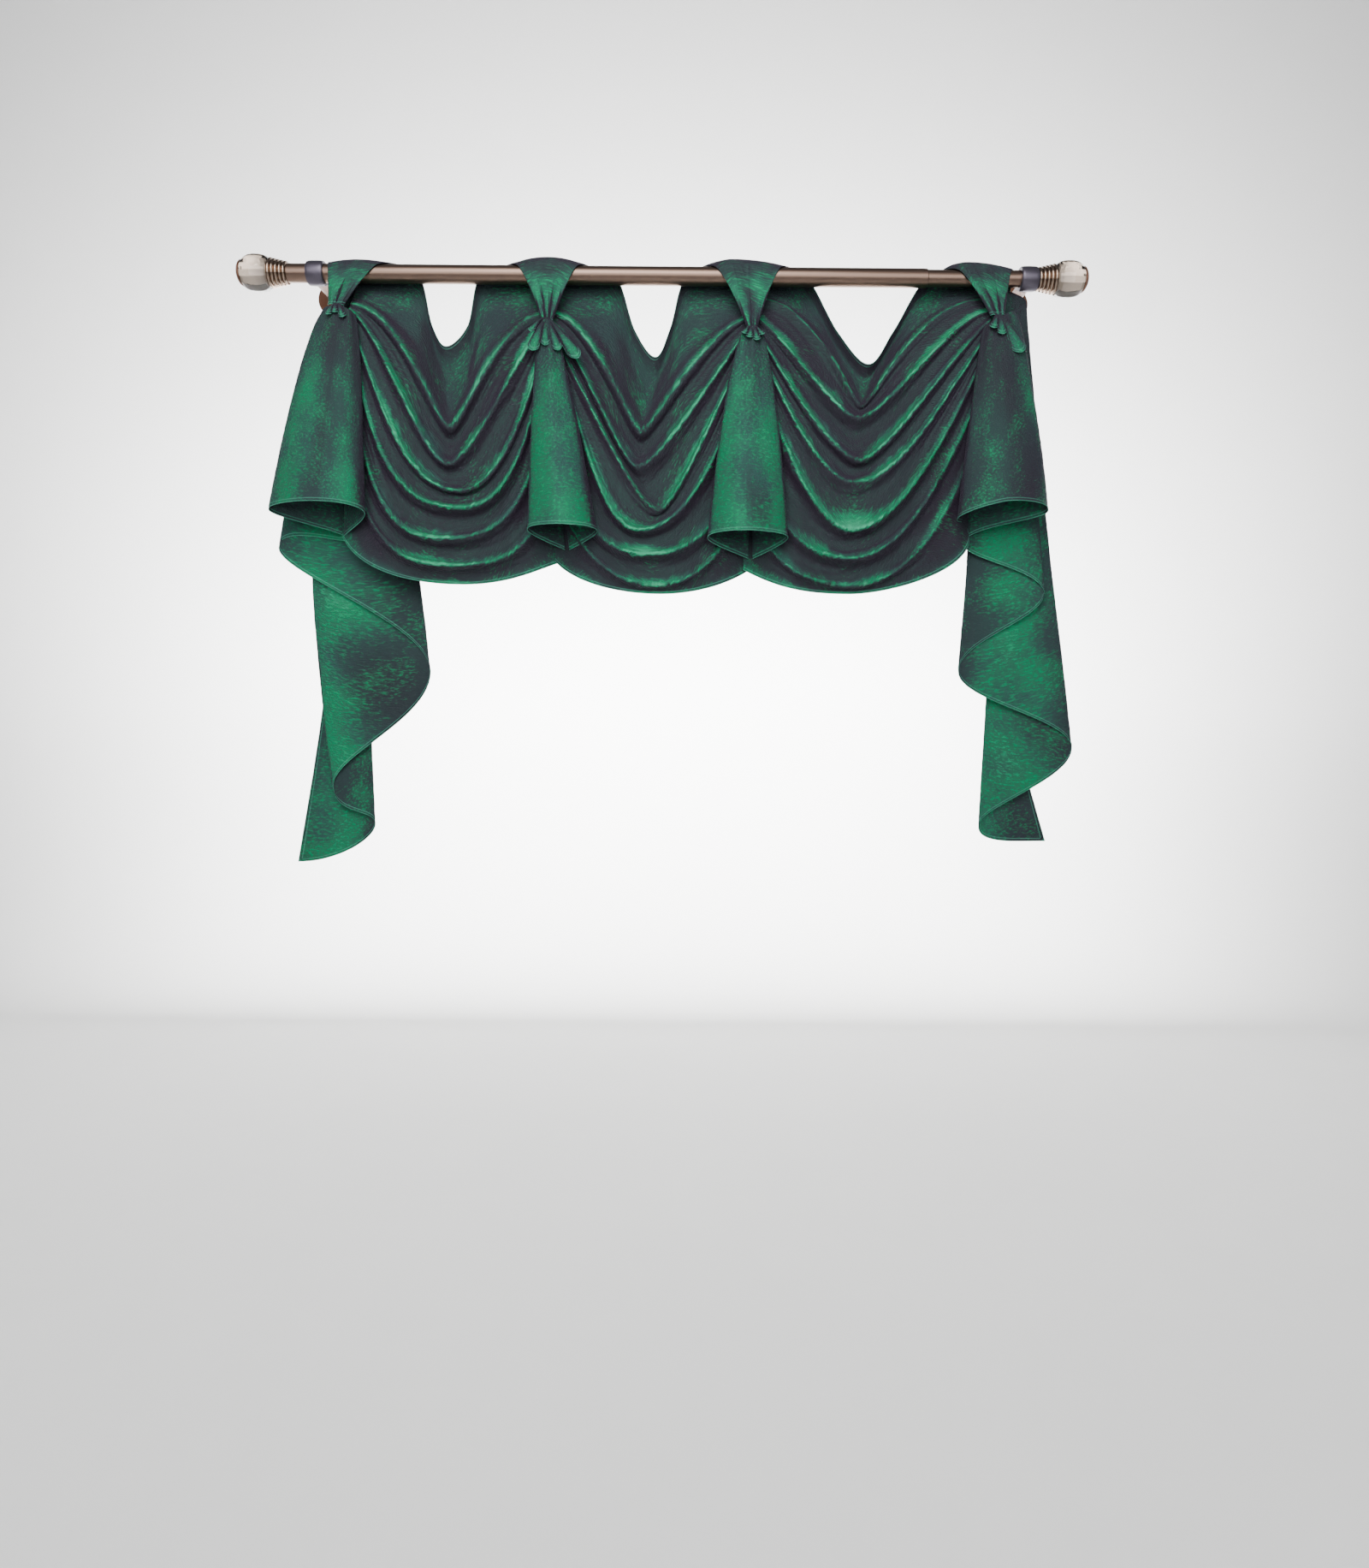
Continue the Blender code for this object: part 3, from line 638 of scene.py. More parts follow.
def new_piece(name, shape, materials, smooth_below=40.0):
    """Object from a bmesh, which is freed, shaded smooth up to an angle between faces."""
    mesh = bpy.data.meshes.new(name)
    shape.to_mesh(mesh)
    shape.free()
    for material in materials:
        mesh.materials.append(material)
    mesh.shade_smooth()
    mesh.set_sharp_from_angle(angle=math.radians(smooth_below))
    piece = bpy.data.objects.new(name, mesh)
    bpy.context.scene.collection.objects.link(piece)
    return piece


def turned_shape(profile, middle, axis, steps, ring=False):
    """Closed shape turned about axis ("X" or "Y") through middle, from (along, radius) points."""
    shape = bmesh.new()
    points = []
    for along, radius in profile:
        offset = Vector((along, 0, radius)) if axis == "X" else Vector((0, along, radius))
        points.append(shape.verts.new(offset * MM))
    edges = [shape.edges.new(pair) for pair in zip(points, points[1:])]
    if ring:
        edges.append(shape.edges.new((points[-1], points[0])))
    direction = Vector((1, 0, 0)) if axis == "X" else Vector((0, 1, 0))
    bmesh.ops.spin(shape, geom=points + edges, cent=(0, 0, 0), axis=direction, dvec=(0, 0, 0),
                   angle=math.tau, steps=steps, use_merge=True)
    bmesh.ops.remove_doubles(shape, verts=shape.verts, dist=0.001 * MM)
    bmesh.ops.recalc_face_normals(shape, faces=shape.faces)
    bmesh.ops.translate(shape, verts=shape.verts, vec=middle)
    return shape


Spot = namedtuple("Spot", "across down run width")


def lay_cloth(name, strip, columns, levels, relief, cloth, paint_light, side_hem=False, top_hem=False):
    """Cloth from strip(across), which gives the line down the cloth at that place across.

    relief(spot) raises the cloth from its own surface, in millimetres, and the painted-light
    function, given a spot and its facing, is how green the cloth is painted as if lit, where facing
    is 1 towards a fixed light. Run is how far down the cloth a spot is, and width the cloth's width
    at the hem. A side hem runs down the last line across."""
    shape = bmesh.new()
    bmesh.ops.create_grid(shape, x_segments=columns, y_segments=levels + HEM_LEVELS, size=0.5)
    lines = {}
    for vert in shape.verts:
        lines.setdefault(round(vert.co.x + 0.5, 5), []).append(vert)
    shape.verts.index_update()
    places = {}
    for across, line in lines.items():
        line.sort(key=lambda vert: -vert.co.y)
        down_line = strip(across)
        end_speed = (down_line(1.0) - down_line(0.995)).length / 0.005
        zone = min(HEM_ZONE / end_speed, 0.2)
        run, before = 0.0, None
        for index, vert in enumerate(line):
            if index <= levels:
                down = (1.0 - zone) * index / levels
            else:
                down = 1.0 - zone * (1.0 - (index - levels) / HEM_LEVELS)
            point = down_line(down)
            run += (point - before).length if before is not None else 0.0
            before = point
            vert.co = place(*point)
            places[vert.index] = (across, down, run)
        for vert in line:
            places[vert.index] += (run - places[vert.index][2],)
    edge = [line[-1].co for across, line in sorted(lines.items())]
    width = sum((b - a).length for a, b in zip(edge, edge[1:])) / MM
    shape.normal_update()

    thread = shape.loops.layers.uv.new("cloth")
    hem = shape.verts.layers.float.new("hem")
    turned = shape.verts.layers.float.new("turned")
    hem_width = cloth.hem_width / MM
    moves, spots = [], []
    for vert in shape.verts:
        across, down, run, to_hem = places[vert.index]
        if side_hem:
            to_hem = min(to_hem, (1.0 - across) * width)
        if top_hem:
            to_hem = min(to_hem, run)
        vert[hem] = to_hem
        spots.append(Spot(across, down, run, width))
        height = relief(spots[-1]) + HEM_ROLL * smooth(hem_width - to_hem)
        height -= STITCH_DENT * fade(to_hem - hem_width, STITCH_WIDTH)
        moves.append(vert.normal * height * MM)
    for vert, move in zip(shape.verts, moves):
        vert.co += move
    shape.normal_update()
    # Painted light and shade: each spot's facing towards a fixed light, its back turned to the
    # front, sets how green it is painted
    for vert, spot in zip(shape.verts, spots):
        normal = -vert.normal if vert.normal.y > 0 else vert.normal
        vert[turned] = paint_light(spot, normal.dot(PAINTED_LIGHT_FACING))
    for face in shape.faces:
        for loop in face.loops:
            across, _, run, _ = places[loop.vert.index]
            loop[thread].uv = (across * width * MM, run * MM)
    piece = new_piece(name, shape, [finish(shot_taffeta, cloth)], smooth_below=80.0)
    thickness = piece.modifiers.new("Thickness", "SOLIDIFY")
    thickness.thickness = cloth.thickness
    thickness.offset = 0.0
    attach(piece, "root")
    return piece


# --- Cloth lines ----------------------------------------------------------------------------------

def seam(gather, drop, side):
    """The valley where two pieces meet below, behind and above a gather; side is -1 or 1."""
    if drop < gather.drop:
        share = (drop - EDGE_DROP) / (gather.drop - EDGE_DROP)
        return Vector((gather.x + side * SEAM_GAP, drop,
                       mix(EDGE_OUT, KNOT_OUT, share ** SEAM_RISE)))
    share = (drop - gather.drop) / (gather.hem_drop - gather.drop)
    x = mix(gather.x, gather.hem_x, share) + side * (SEAM_GAP - SEAM_LAP * share)
    out = mix(KNOT_OUT, HEM_SEAM_OUT, share ** SEAM_FALL) + side * SEAM_LAP_OUT * share
    return Vector((x, drop, out))


def fold_point(fold, left, right, across):
    """Point of a fold's line as x, drop and out, with across 0.5 at its lowest point."""
    if across < 0.5:
        end, angle, sense, share = seam(left, fold.left, 1), fold.left_angle, 1, across * 2
    else:
        end, angle, sense, share = seam(right, fold.right, -1), fold.right_angle, -1, 2 - across * 2
    slope = math.radians(angle)
    chord = math.hypot(fold.low_x - end.x, fold.low - end.y)
    handle = fold.reach * chord
    corners = (
        (end.x, end.y),
        (end.x + sense * handle * math.cos(slope), end.y + handle * math.sin(slope)),
        (fold.low_x - sense * fold.belly * abs(fold.low_x - end.x), fold.low),
        (fold.low_x, fold.low),
    )
    rest = 1 - share
    weights = (rest ** 3, 3 * rest * rest * share, 3 * rest * share * share, share ** 3)
    x = sum(weight * corner[0] for weight, corner in zip(weights, corners))
    drop = sum(weight * corner[1] for weight, corner in zip(weights, corners))
    return Vector((x, drop, mix(end.z, fold.out, smooth(share))))


def scoop_point(scoop, left, right, across):
    """Point of a swag's upper edge as x, drop and out."""
    deepest = max(edge.drop for edge in scoop)
    points = [seam(left, EDGE_DROP, 1)]
    for edge in scoop:
        share = smooth((edge.drop - EDGE_DROP) / (deepest - EDGE_DROP))
        points.append(Vector((edge.x, edge.drop, mix(EDGE_OUT, SCOOP_OUT, share))))
    points.append(seam(right, EDGE_DROP, -1))
    return through(points, across * (len(points) - 1))


def swag_strip(left, right, scoop, folds):
    """Cloth between two gathers, each fold a ridge with a valley under it."""
    backs = [SCOOP_BACK] + [fold.back for fold in folds]

    def strip(across):
        ridges = [scoop_point(scoop, left, right, across)]
        ridges += [fold_point(fold, left, right, across) for fold in folds]
        lines = [ridges[0]]
        for index, (upper, lower) in enumerate(zip(ridges, ridges[1:])):
            valley, shelf = mix(upper, lower, VALLEY_PLACE), mix(upper, lower, SHELF_PLACE)
            arch = math.sin(math.pi * across)
            if index == 0:
                depth = mix(SCOOP_END_BACK, backs[0], arch)
            else:
                depth = backs[index] * arch ** VALLEY_FADE
            valley.z -= depth
            shelf.z -= depth * SHELF_DEPTH
            lines += [valley, shelf, lower]
        return lambda down: through(lines, down * (len(lines) - 1))
    return strip


def swag_relief(folds, crinkle, seed):
    """Pinched crests, gathers that die out from the ends, and creases along the folds."""
    last = LINES_A_FOLD * len(folds)

    def relief(spot):
        where = spot.down * last
        along = spot.across * spot.width
        crest = LINES_A_FOLD * round(where / LINES_A_FOLD)
        wander = noise.noise(Vector((along / PINCH_WANDER, crest, seed)))
        off_crest = abs(where - crest + 0.3 * wander)
        inner = smooth(where / 3) * smooth((last - where) / 2)
        from_end = min(spot.across, 1 - spot.across)
        pinch = PINCH * fade(off_crest, PINCH_WIDTH) * (1 + wander) * inner * smooth(from_end * 8)
        ripple = RIPPLE * math.sin(where * 3.5 + seed) * smooth((where - 2) / 3)
        ripple *= fade(from_end, RIPPLE_REACH) * smooth(from_end * 30)
        creases = LONG_HEIGHT * crease(along / LONG_CREASE, where * 1.3, seed)
        creases += SHORT_HEIGHT * crease(along / SHORT_CREASE[0], spot.run / SHORT_CREASE[1],
                                         seed + 7)
        return pinch + ripple + inner * crinkle * creases
    return relief


def swag_painted_light(folds, seed):
    """Painted light: green painted on the flanks of upper folds and at the bottoms of lower ones,
    and a painted highlight line on each crest.
    """
    def paint_light(spot, facing):
        where = spot.down * LINES_A_FOLD * len(folds)
        along = spot.across * spot.width
        centre = math.exp(-((spot.across - 0.5) / CENTRE_WIDTH) ** 2)
        lower = smooth((spot.down - 0.35) / 0.35)
        middle = mix(1.3 - 1.15 * centre, 0.45 + 0.8 * centre, lower)
        crest = LINES_A_FOLD * round(where / LINES_A_FOLD)
        wander = noise.noise(Vector((along / BAND_WANDER, crest, seed)))
        crinkle = noise.noise(Vector((along / PINCH_WANDER, crest, seed)))
        width = BAND_WIDTH + 0.7 * wander + 0.25 * crinkle
        width *= mix(0.35, 1.0, smooth((where - 2) / 2))
        # Painted light in a band over each fold's flank
        band = smooth((where % LINES_A_FOLD - 2.6 + width) / 1.1) * middle * (1 + 0.9 * wander)
        panel = PANEL_SHINE * smooth(LINES_A_FOLD - where)
        lit = smooth((facing - 0.72) / 0.2)
        # Painted highlight line along each crest
        line = max(0.5 + 1.2 * wander + 0.9 * crinkle, 0.1) * smooth(where / 2)
        line *= fade(where - crest + 0.42 * crinkle, CREST_LINE) * (1 + 1.4 * centre * lower)
        return max(band * (0.65 + 0.35 * lit), panel * lit) + line
    return paint_light


def row_point(row, down):
    """Point of a row of a bell or tail at down, 0 at the gather and 1 at the hem."""
    x = mix(row.top_x, row.hem_x, down ** row.spread) + row.bow * math.sin(math.pi * down)
    return Vector((x, mix(row.top, row.hem, down), mix(row.top_out, row.hem_out, down)))


def tail_strip(rows):
    """Cloth that turns back at each of its rows, one layer behind the last."""
    def strip(across):
        where = across * (len(rows) - 1)
        index = min(int(where), len(rows) - 2)
        near = range(max(index - 1, 0), min(index + 3, len(rows)))

        def line(down):
            points = {number: row_point(rows[number], down) for number in near}
            slopes = []
            for number in (index, index + 1):
                before = points[max(number - 1, 0)]
                after = points[min(number + 1, len(rows) - 1)]
                slope = (after - before) * 0.5
                if rows[number].kind == "turn":
                    slope.x = 0.0
                    slope.y *= TURN_DROP
                    slope.z *= TURN_OUT
                elif rows[number].kind == "corner":
                    slope.x *= CORNER_REACH
                    slope.y = 0.0
                slopes.append(slope)
            return hermite(points[index], points[index + 1], *slopes, where - index)
        return line
    return strip


def tail_relief(rows, crinkle, seed):
    """Finger pleats that die out from the gather, and slanting creases."""
    def relief(spot):
        where = spot.across * (len(rows) - 1)
        pleat = PLEAT * math.sin(where * 9.0 + seed) * fade(spot.run, PLEAT_REACH)
        pleat *= smooth(spot.run / 8)
        swell = SWELL * noise.noise(Vector((where * 1.7, spot.run / SWELL_LENGTH, seed)))
        swell *= smooth(spot.run / 60)
        fine = FINE_HEIGHT * crease(where * 7.0, spot.run / 60, seed) * fade(spot.run, FINE_REACH)
        slanting = SLANT_HEIGHT * crease(where * 4.0 + spot.run / 60, spot.run / SLANT_CREASE,
                                         seed + 3)
        return pleat + swell + crinkle * (fine + slanting)
    return relief


def tail_painted_light(rows, shines, seed):
    """Painted light: a painted lit band down each span between rows, with painted shade beside it
    and less of it near the gather.
    """
    def paint_light(spot, facing):
        where = spot.across * (len(rows) - 1)
        span = min(int(where), len(shines) - 1)
        level, middle, half_width = shines[span]
        slow = noise.noise(Vector((where * 1.3, spot.run / 110, seed)))
        band = math.exp(-((where - span - middle + 0.25 * slow) / half_width) ** 2)
        lower = mix(TAIL_TOP_SHINE, TAIL_LOW_SHINE, smooth(spot.run / TAIL_SHINE_FALL))
        shine = mix(TAIL_LEAST, TAIL_MOST, level * band)
        return smooth((facing - 0.4) / 0.4) * shine * lower * (0.95 + 0.6 * slow)
    return paint_light


def lay_rows(name, rows, steps, seed, cloth, side_hem=False):
    """Bell or tail laid over its rows."""
    relief = tail_relief(rows, cloth.crinkle / MM, seed)
    paint_light = tail_painted_light(rows, SHINES[name], seed)
    return lay_cloth(name + "_cloth", tail_strip(rows), steps[0] * (len(rows) - 1), steps[1],
                     relief, cloth, paint_light, side_hem=side_hem)


def tab_strip(tab):
    """Strip that rises behind the rod, goes over it and is pleated into its gather."""
    radius = tab.rod_radius + 0.6 + TAB_CLEARANCE
    arc = math.pi * radius
    fall = math.hypot(tab.knot_drop, TAB_KNOT_OUT - radius)
    start_angle = -math.asin(TAB_BACK_DROP / radius)

    def strip(across):
        level = tab.left + (tab.right - tab.left) * across
        side = (level - tab.peak) / ((tab.right if level > tab.peak else tab.left) - tab.peak)
        knot = mix(tab.knot_left, tab.knot_right, across)
        fold = abs(math.sin(math.pi * tab.pleats * across)) ** TAB_PLEAT_ROUND

        def line(down):
            over_rod = min(down / TAB_ROD_SHARE, 1.0)
            in_front = max((down - TAB_ROD_SHARE) / (1 - TAB_ROD_SHARE), 0.0)
            along = mix(start_angle * radius, arc, over_rod) + fall * in_front
            narrowing = max(along - arc / 2, 0.0) / (arc / 2 + fall)
            x = mix(level, knot, narrowing ** TAB_NARROWING)
            pleat = TAB_PLEAT_DEPTH * fold * smooth((narrowing - 0.15) * 1.4)
            if along < arc:
                angle = along / radius
                lift = radius + tab.rise * (1 - side * side) * math.sin(angle) ** 2 + pleat
                return Vector((x, -lift * math.sin(angle), -lift * math.cos(angle)))
            share = (along - arc) / fall
            return Vector((x, share * tab.knot_drop, mix(radius, TAB_KNOT_OUT, share) + pleat))
        return line
    return strip


def tab_relief(crinkle, seed):
    def relief(spot):
        front = smooth((spot.down - 0.3) / 0.3)
        fine = crease(spot.across * 7, spot.run / 60, seed)
        short_crease = crease(spot.across * 5, spot.run / 14, seed + 5)
        return crinkle * (0.9 * fine + 0.6 * short_crease) * front
    return relief


def tab_painted_light(spot, facing):
    """Painted light, most on the lower half of a tab in front of the rod, with painted shade over
    the rod.
    """
    slow = noise.noise(Vector((spot.across * 3.0, spot.run / 25, spot.width)))
    level = mix(TAB_BACK_SHINE, TAB_FRONT_SHINE, smooth((spot.down - 0.55) / 0.25))
    return smooth((facing - 0.78) / 0.2) * level * (1.0 + 0.9 * slow)


def fan_painted_light(fan):
    """Painted highlight at the ends of the fingers, and painted shade between them."""
    def paint_light(spot, facing):
        ridge = math.sin(math.pi * ((spot.across * len(fan.fingers)) % 1.0))
        end = mix(0.2, 0.95, smooth((spot.down - 0.2) / 0.6))
        return smooth((facing - 0.7) / 0.2) * end * ridge
    return paint_light


def fan_strip(fan):
    """Finger pleats with rounded ends that spread down from a gather over the cloth below it."""
    angles = [finger.angle for finger in fan.fingers]
    bounds = [1.5 * angles[0] - 0.5 * angles[1]]
    bounds += [(a + b) / 2 for a, b in zip(angles, angles[1:])]
    bounds.append(1.5 * angles[-1] - 0.5 * angles[-2])

    def strip(across):
        finger = across * len(angles)
        number = min(int(finger), len(angles) - 1)
        share = finger - number
        angle = math.radians(mix(bounds[number], bounds[number + 1], share))
        ridge = math.sin(math.pi * share) ** FINGER_ROUND
        reach = fan.fingers[number].length * (0.82 + 0.18 * ridge)
        spread = mix(-FAN_HALF_WIDTH, FAN_HALF_WIDTH, across)

        def line(down):
            x = fan.x + math.sin(angle) * reach * down + spread
            drop = fan.drop + math.cos(angle) * reach * down
            rise = FINGER_RISE * math.sin(math.pi * 0.55 * down) * math.cos(angle) ** 2
            return Vector((x, drop, fan.out + rise + FINGER_RIDGE * ridge * smooth(down * 2.5)))
        return line
    return strip


# --- Operators ------------------------------------------------------------------------------------

class DRAPE_OT_swags(bpy.types.Operator):
    """Hang the three swags between the gathers"""
    bl_idname = "drape.swags"
    bl_label = "Swags"

    def execute(self, context):
        cloth = context.scene.drape_cloth
        for seed, (name, (left, right, folds)) in enumerate(SWAGS.items()):
            strip = swag_strip(GATHERS[left], GATHERS[right], SCOOPS[name], folds)
            relief = swag_relief(folds, cloth.crinkle / MM, seed * 11.3)
            paint_light = swag_painted_light(folds, seed * 5.1)
            across, fold_steps = SWAG_STEPS
            piece = lay_cloth(name + "_cloth", strip, across, fold_steps * len(folds), relief,
                              cloth, paint_light, top_hem=True)
            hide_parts(name)
        return {"FINISHED"}


class DRAPE_OT_bells(bpy.types.Operator):
    """Hang the two bells in front of the seams between the swags"""
    bl_idname = "drape.bells"
    bl_label = "Bells"

    def execute(self, context):
        cloth = context.scene.drape_cloth
        for seed, (name, rows) in enumerate(BELLS.items()):
            piece = lay_rows(name, rows, BELL_STEPS, 40 + seed * 5.7, cloth)
            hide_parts(name)
        return {"FINISHED"}


class DRAPE_OT_tails(bpy.types.Operator):
    """Hang the cascade tail at each end"""
    bl_idname = "drape.tails"
    bl_label = "Tails"

    def execute(self, context):
        cloth = context.scene.drape_cloth
        for seed, (name, rows) in enumerate(TAILS.items()):
            piece = lay_rows(name, rows, TAIL_STEPS, 60 + seed * 9.1, cloth, side_hem=True)
            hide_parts(name)
        return {"FINISHED"}


class DRAPE_OT_tabs(bpy.types.Operator):
    """Wrap the four tabs over the rod and add the finger pleats under them"""
    bl_idname = "drape.tabs"
    bl_label = "Tabs and pleats"

    def execute(self, context):
        cloth = context.scene.drape_cloth
        for seed, (name, tab) in enumerate(TABS.items()):
            relief = tab_relief(cloth.crinkle / MM, 80 + seed * 3.3)
            piece = lay_cloth(name + "_cloth", tab_strip(tab), *TAB_STEPS, relief, cloth, tab_painted_light)
            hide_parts(name)
        for name, fan in FANS.items():
            across, down = FAN_STEPS
            piece = lay_cloth(name, fan_strip(fan), across * len(fan.fingers), down,
                              lambda spot: 0.0, cloth, fan_painted_light(fan))
        return {"FINISHED"}


class DRAPE_OT_rod(bpy.types.Operator):
    """Set the two tubes of the telescoping rod"""
    bl_idname = "drape.rod"
    bl_label = "Rod"

    def execute(self, context):
        hardware = context.scene.drape_hardware
        tubes = (("rod_outer", ROD_LEFT_X, JOINT_X, OUTER_RADIUS),
                 ("rod_inner", JOINT_X + TOUCH, ROD_RIGHT_X, INNER_RADIUS))
        for name, start, end, radius in tubes:
            inside = radius - TUBE_WALL
            profile = ((start, inside), (start, radius - 0.4), (start + 0.4, radius),
                       (end - 0.4, radius), (end, radius - 0.4), (end, inside))
            shape = turned_shape(profile, place(0, 0, 0), "X", hardware.round_steps, ring=True)
            piece = new_piece(name + "_tube", shape, [finish(brushed_nickel, hardware)])
            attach(piece, "root")
            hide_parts(name)
        return {"FINISHED"}


class DRAPE_OT_brackets(bpy.types.Operator):
    """Set the wall plate, stem and collar at each end"""
    bl_idname = "drape.brackets"
    bl_label = "Brackets"

    def execute(self, context):
        hardware = context.scene.drape_hardware
        steps = hardware.round_steps
        for name, x, radius in zip(("bracket_left", "bracket_right"), BRACKET_X,
                                   (OUTER_RADIUS, INNER_RADIUS)):
            points = [(-along, wide) for along, wide in PLATE_AND_STEM]
            shape = turned_shape(points, Vector((x * MM, 0, 0)), "Y", steps)
            stem = new_piece(name + "_stem", shape, [finish(copper_lacquer, hardware)])
            half, shoulder, bore = COLLAR_HALF_LENGTH, COLLAR_RADIUS - COLLAR_EDGE, radius + TOUCH
            points = [(-half, bore), (-half, shoulder)]
            for turn in range(COLLAR_CURVE + 1):
                angle = math.pi * (turn / COLLAR_CURVE - 0.5)
                points.append((math.sin(angle) * (half - 0.2) * 0.98,
                               shoulder + COLLAR_EDGE * math.cos(angle) ** 0.5))
            points += [(half, shoulder), (half, bore)]
            shape = turned_shape(points, place(x, 0, 0), "X", steps, ring=True)
            collar = new_piece(name + "_collar", shape, [finish(dark_pewter, hardware)])
            for piece in (stem, collar):
                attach(piece, "root")
            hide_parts(name)
        return {"FINISHED"}


class DRAPE_OT_finials(bpy.types.Operator):
    """Set the ringed collar, the cut glass and the end cap at each end"""
    bl_idname = "drape.finials"
    bl_label = "Finials"

    def execute(self, context):
        hardware = context.scene.drape_hardware
        collar = [(0, 0), (0, FINIAL_COLLAR_FOOT - 2)]
        ring_length = FINIAL_COLLAR_LENGTH / FINIAL_RINGS
        for ring in range(FINIAL_RINGS):
            radius = mix(FINIAL_COLLAR_FOOT, FINIAL_COLLAR_TOP, (ring + 0.5) / FINIAL_RINGS)
            for turn in range(RING_CURVE + 1):
                angle = math.pi * turn / RING_CURVE
                collar.append((ring * ring_length + ring_length * (0.46 - 0.42 * math.cos(angle)),
                               radius - RING_DEPTH * (1 - math.sin(angle))))
        collar += [(FINIAL_COLLAR_LENGTH, FINIAL_COLLAR_TOP - RING_DEPTH),
                   (FINIAL_COLLAR_LENGTH, 0)]
        glass_start = FINIAL_COLLAR_LENGTH + TOUCH
        cap_start = glass_start + GLASS[-1][0] + TOUCH
        kinds = (
            ("collar", collar, 0, polished_nickel, "nickel", hardware.round_steps, 50),
            ("glass", GLASS, glass_start, cut_glass, "glass", hardware.glass_facets, 5),
            ("cap", CAP, cap_start, copper_lacquer, "nickel", hardware.round_steps, 40),
        )
        for side, start, sense in (("left", ROD_LEFT_X - TOUCH, -1),
                                   ("right", ROD_RIGHT_X + TOUCH, 1)):
            for kind, profile, offset, material, slot, steps, angle in kinds:
                points = [(sense * (offset + along), radius) for along, radius in profile]
                shape = turned_shape(points, place(start, 0, 0), "X", steps)
                name = f"finial_{kind}_{side}"
                piece = new_piece(name + "_turned", shape, [finish(material, hardware)],
                                  smooth_below=angle)
                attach(piece, "root")
                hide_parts(name)
        return {"FINISHED"}


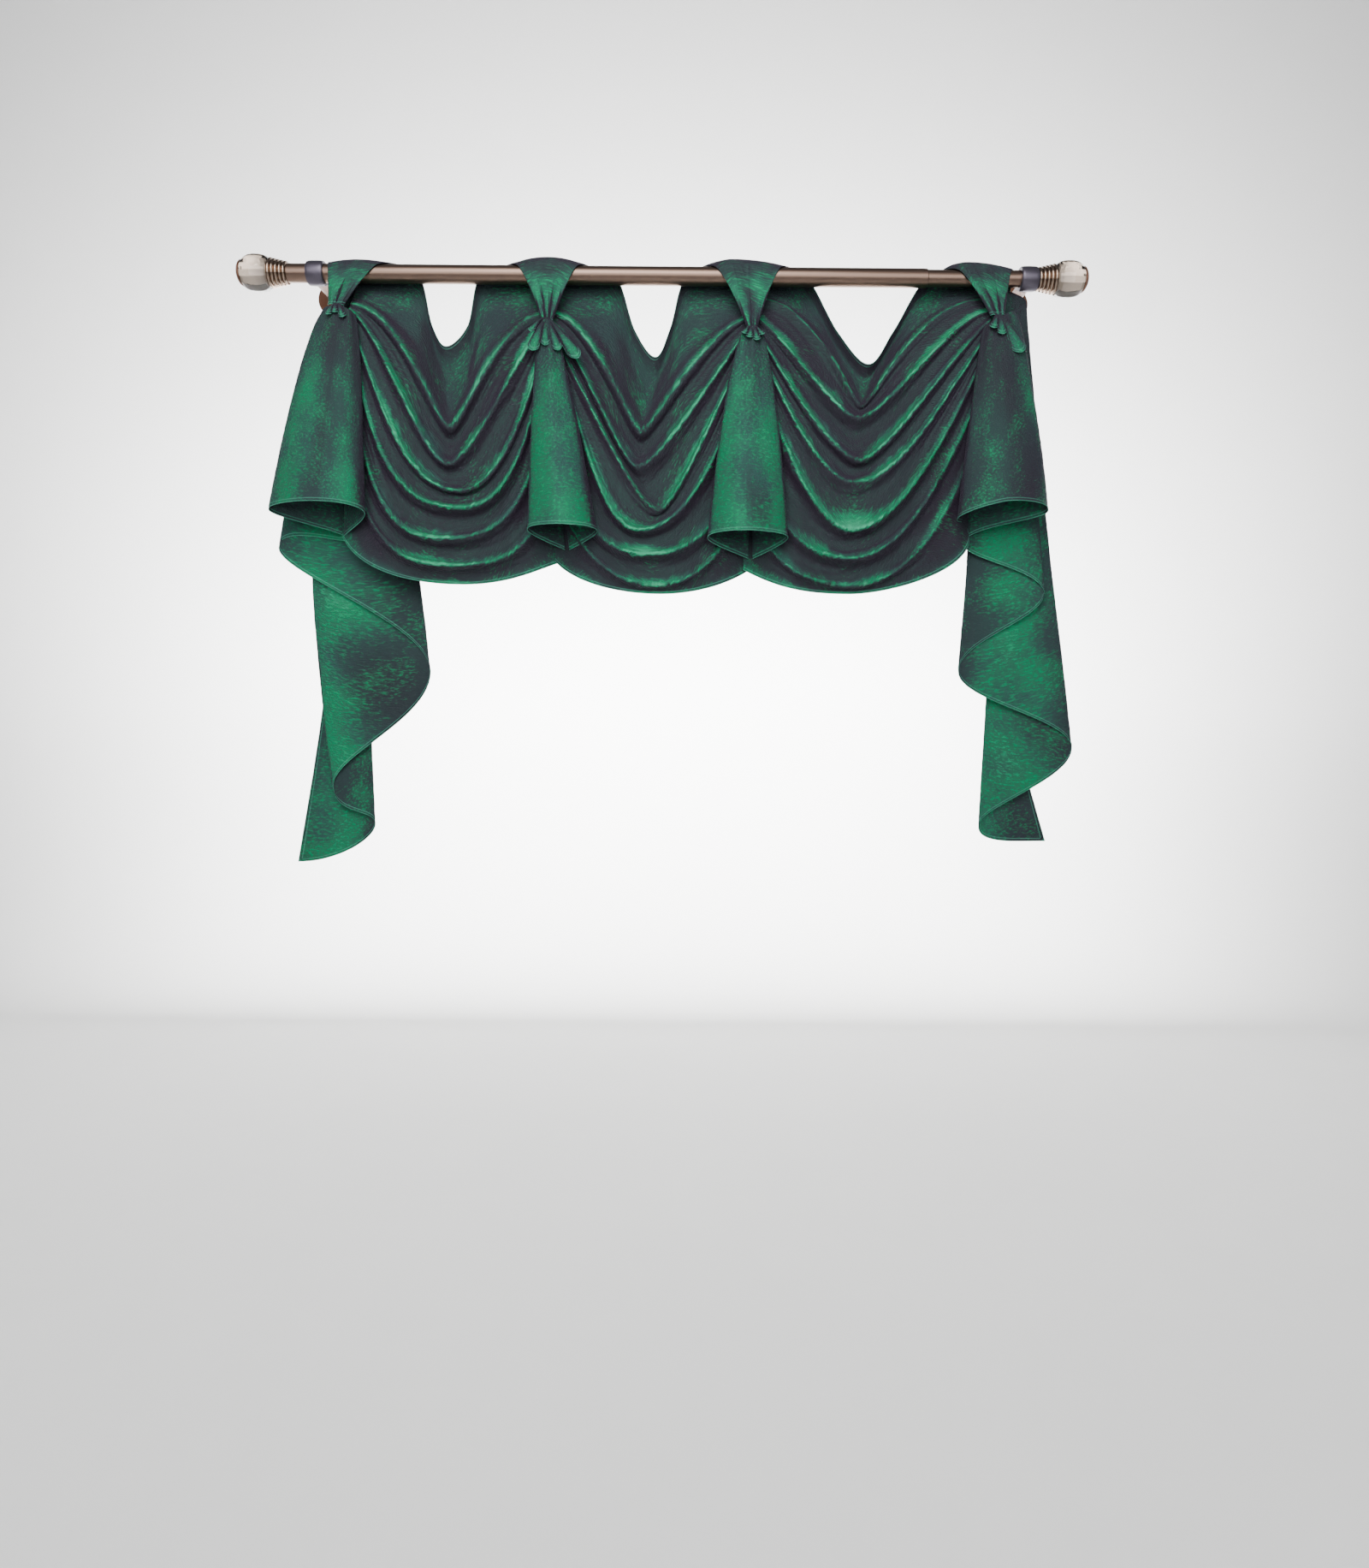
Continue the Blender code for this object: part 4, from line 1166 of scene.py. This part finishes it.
class DRAPE_OT_stage(bpy.types.Operator):
    """Set the floor, the backdrop, the lights and the camera"""
    bl_idname = "drape.stage"
    bl_label = "Stage"

    def execute(self, context):
        stage = context.scene.drape_stage
        floor = ROD_ABOVE_PLATE * MM - stage.floor_below
        shape = bmesh.new()
        corners = [shape.verts.new((BACKDROP_LEFT, y, z))
                   for y, z in ((BACKDROP_FRONT, floor), (BACKDROP_BACK, floor),
                                (BACKDROP_BACK, BACKDROP_TOP))]
        edges = [shape.edges.new(pair) for pair in zip(corners, corners[1:])]
        swept = bmesh.ops.extrude_edge_only(shape, edges=edges)["geom"]
        bmesh.ops.translate(shape, vec=(BACKDROP_WIDTH, 0, 0),
                            verts=[item for item in swept if isinstance(item, bmesh.types.BMVert)])
        cove = [edge for edge in shape.edges
                if all(abs(vert.co.y - BACKDROP_BACK) < 1e-4 and abs(vert.co.z - floor) < 1e-4
                       for vert in edge.verts)]
        bmesh.ops.bevel(shape, geom=cove, offset=COVE_RADIUS, offset_type="OFFSET",
                        affect="EDGES", segments=16, profile=0.5, material=-1)
        bmesh.ops.recalc_face_normals(shape, faces=shape.faces)
        backdrop = new_piece("backdrop", shape, [finish(matt_paint, stage)])

        world = bpy.data.worlds.new("studio")
        context.scene.world = world
        world.use_nodes = True
        background = world.node_tree.nodes["Background"]
        background.inputs["Color"].default_value = (*linear(WORLD_COLOUR), 1.0)
        background.inputs["Strength"].default_value = WORLD_STRENGTH

        for row in LAMPS:
            lamp = bpy.data.lights.new(row.name, "AREA")
            lamp.shape, lamp.energy = "RECTANGLE", stage.key_power * row.share
            lamp.size, lamp.size_y = row.size
            holder = bpy.data.objects.new(row.name, lamp)
            aim = (Vector(row.target) - Vector(row.place)).to_track_quat("-Z", "Y")
            holder.matrix_world = Matrix.Translation(row.place) @ aim.to_matrix().to_4x4()
            context.scene.collection.objects.link(holder)

        camera = bpy.data.cameras.new("camera")
        camera.sensor_fit, camera.sensor_width = "HORIZONTAL", CAMERA_SENSOR
        camera.lens = CAMERA_SENSOR * VIEW_DISTANCE / VIEW_WIDTH
        camera.shift_y = CAMERA_SHIFT
        holder = bpy.data.objects.new("camera", camera)
        turn = Matrix.Rotation(math.radians(90), 4, "X") @ Matrix.Rotation(CAMERA_ROLL, 4, "Z")
        holder.matrix_world = Matrix.Translation(CAMERA_PLACE) @ turn
        context.scene.collection.objects.link(holder)
        context.scene.camera = holder
        return {"FINISHED"}


class VIEW3D_PT_drape(bpy.types.Panel):
    """Sizes, colours and steps of the drape"""
    bl_label = "Swag and Tail Drape"
    bl_space_type = "VIEW_3D"
    bl_region_type = "UI"
    bl_category = "Drape"

    def draw(self, context):
        for name in ("drape_cloth", "drape_hardware", "drape_stage"):
            box = self.layout.box()
            group = getattr(context.scene, name)
            for item in group.bl_rna.properties:
                if item.identifier not in ("rna_type", "name"):
                    box.prop(group, item.identifier)
        for operator in OPERATORS:
            self.layout.operator(operator.bl_idname)


OPERATORS = (DRAPE_OT_rod, DRAPE_OT_brackets, DRAPE_OT_finials, DRAPE_OT_swags, DRAPE_OT_bells,
             DRAPE_OT_tails, DRAPE_OT_tabs, DRAPE_OT_stage)
GROUPS = (("drape_cloth", DrapeCloth), ("drape_hardware", DrapeHardware),
          ("drape_stage", DrapeStage))


def register():
    for name, group in GROUPS:
        bpy.utils.register_class(group)
        setattr(bpy.types.Scene, name, PointerProperty(type=group))
    for item in (*OPERATORS, VIEW3D_PT_drape):
        bpy.utils.register_class(item)


def unregister():
    for item in (VIEW3D_PT_drape, *reversed(OPERATORS)):
        bpy.utils.unregister_class(item)
    for name, group in reversed(GROUPS):
        delattr(bpy.types.Scene, name)
        bpy.utils.unregister_class(group)


def main():
    register()
    bpy.ops.drape.rod()
    bpy.ops.drape.brackets()
    bpy.ops.drape.finials()
    bpy.ops.drape.swags()
    bpy.ops.drape.bells()
    bpy.ops.drape.tails()
    bpy.ops.drape.tabs()
    bpy.ops.drape.stage()


if __name__ == "__main__":
    main()
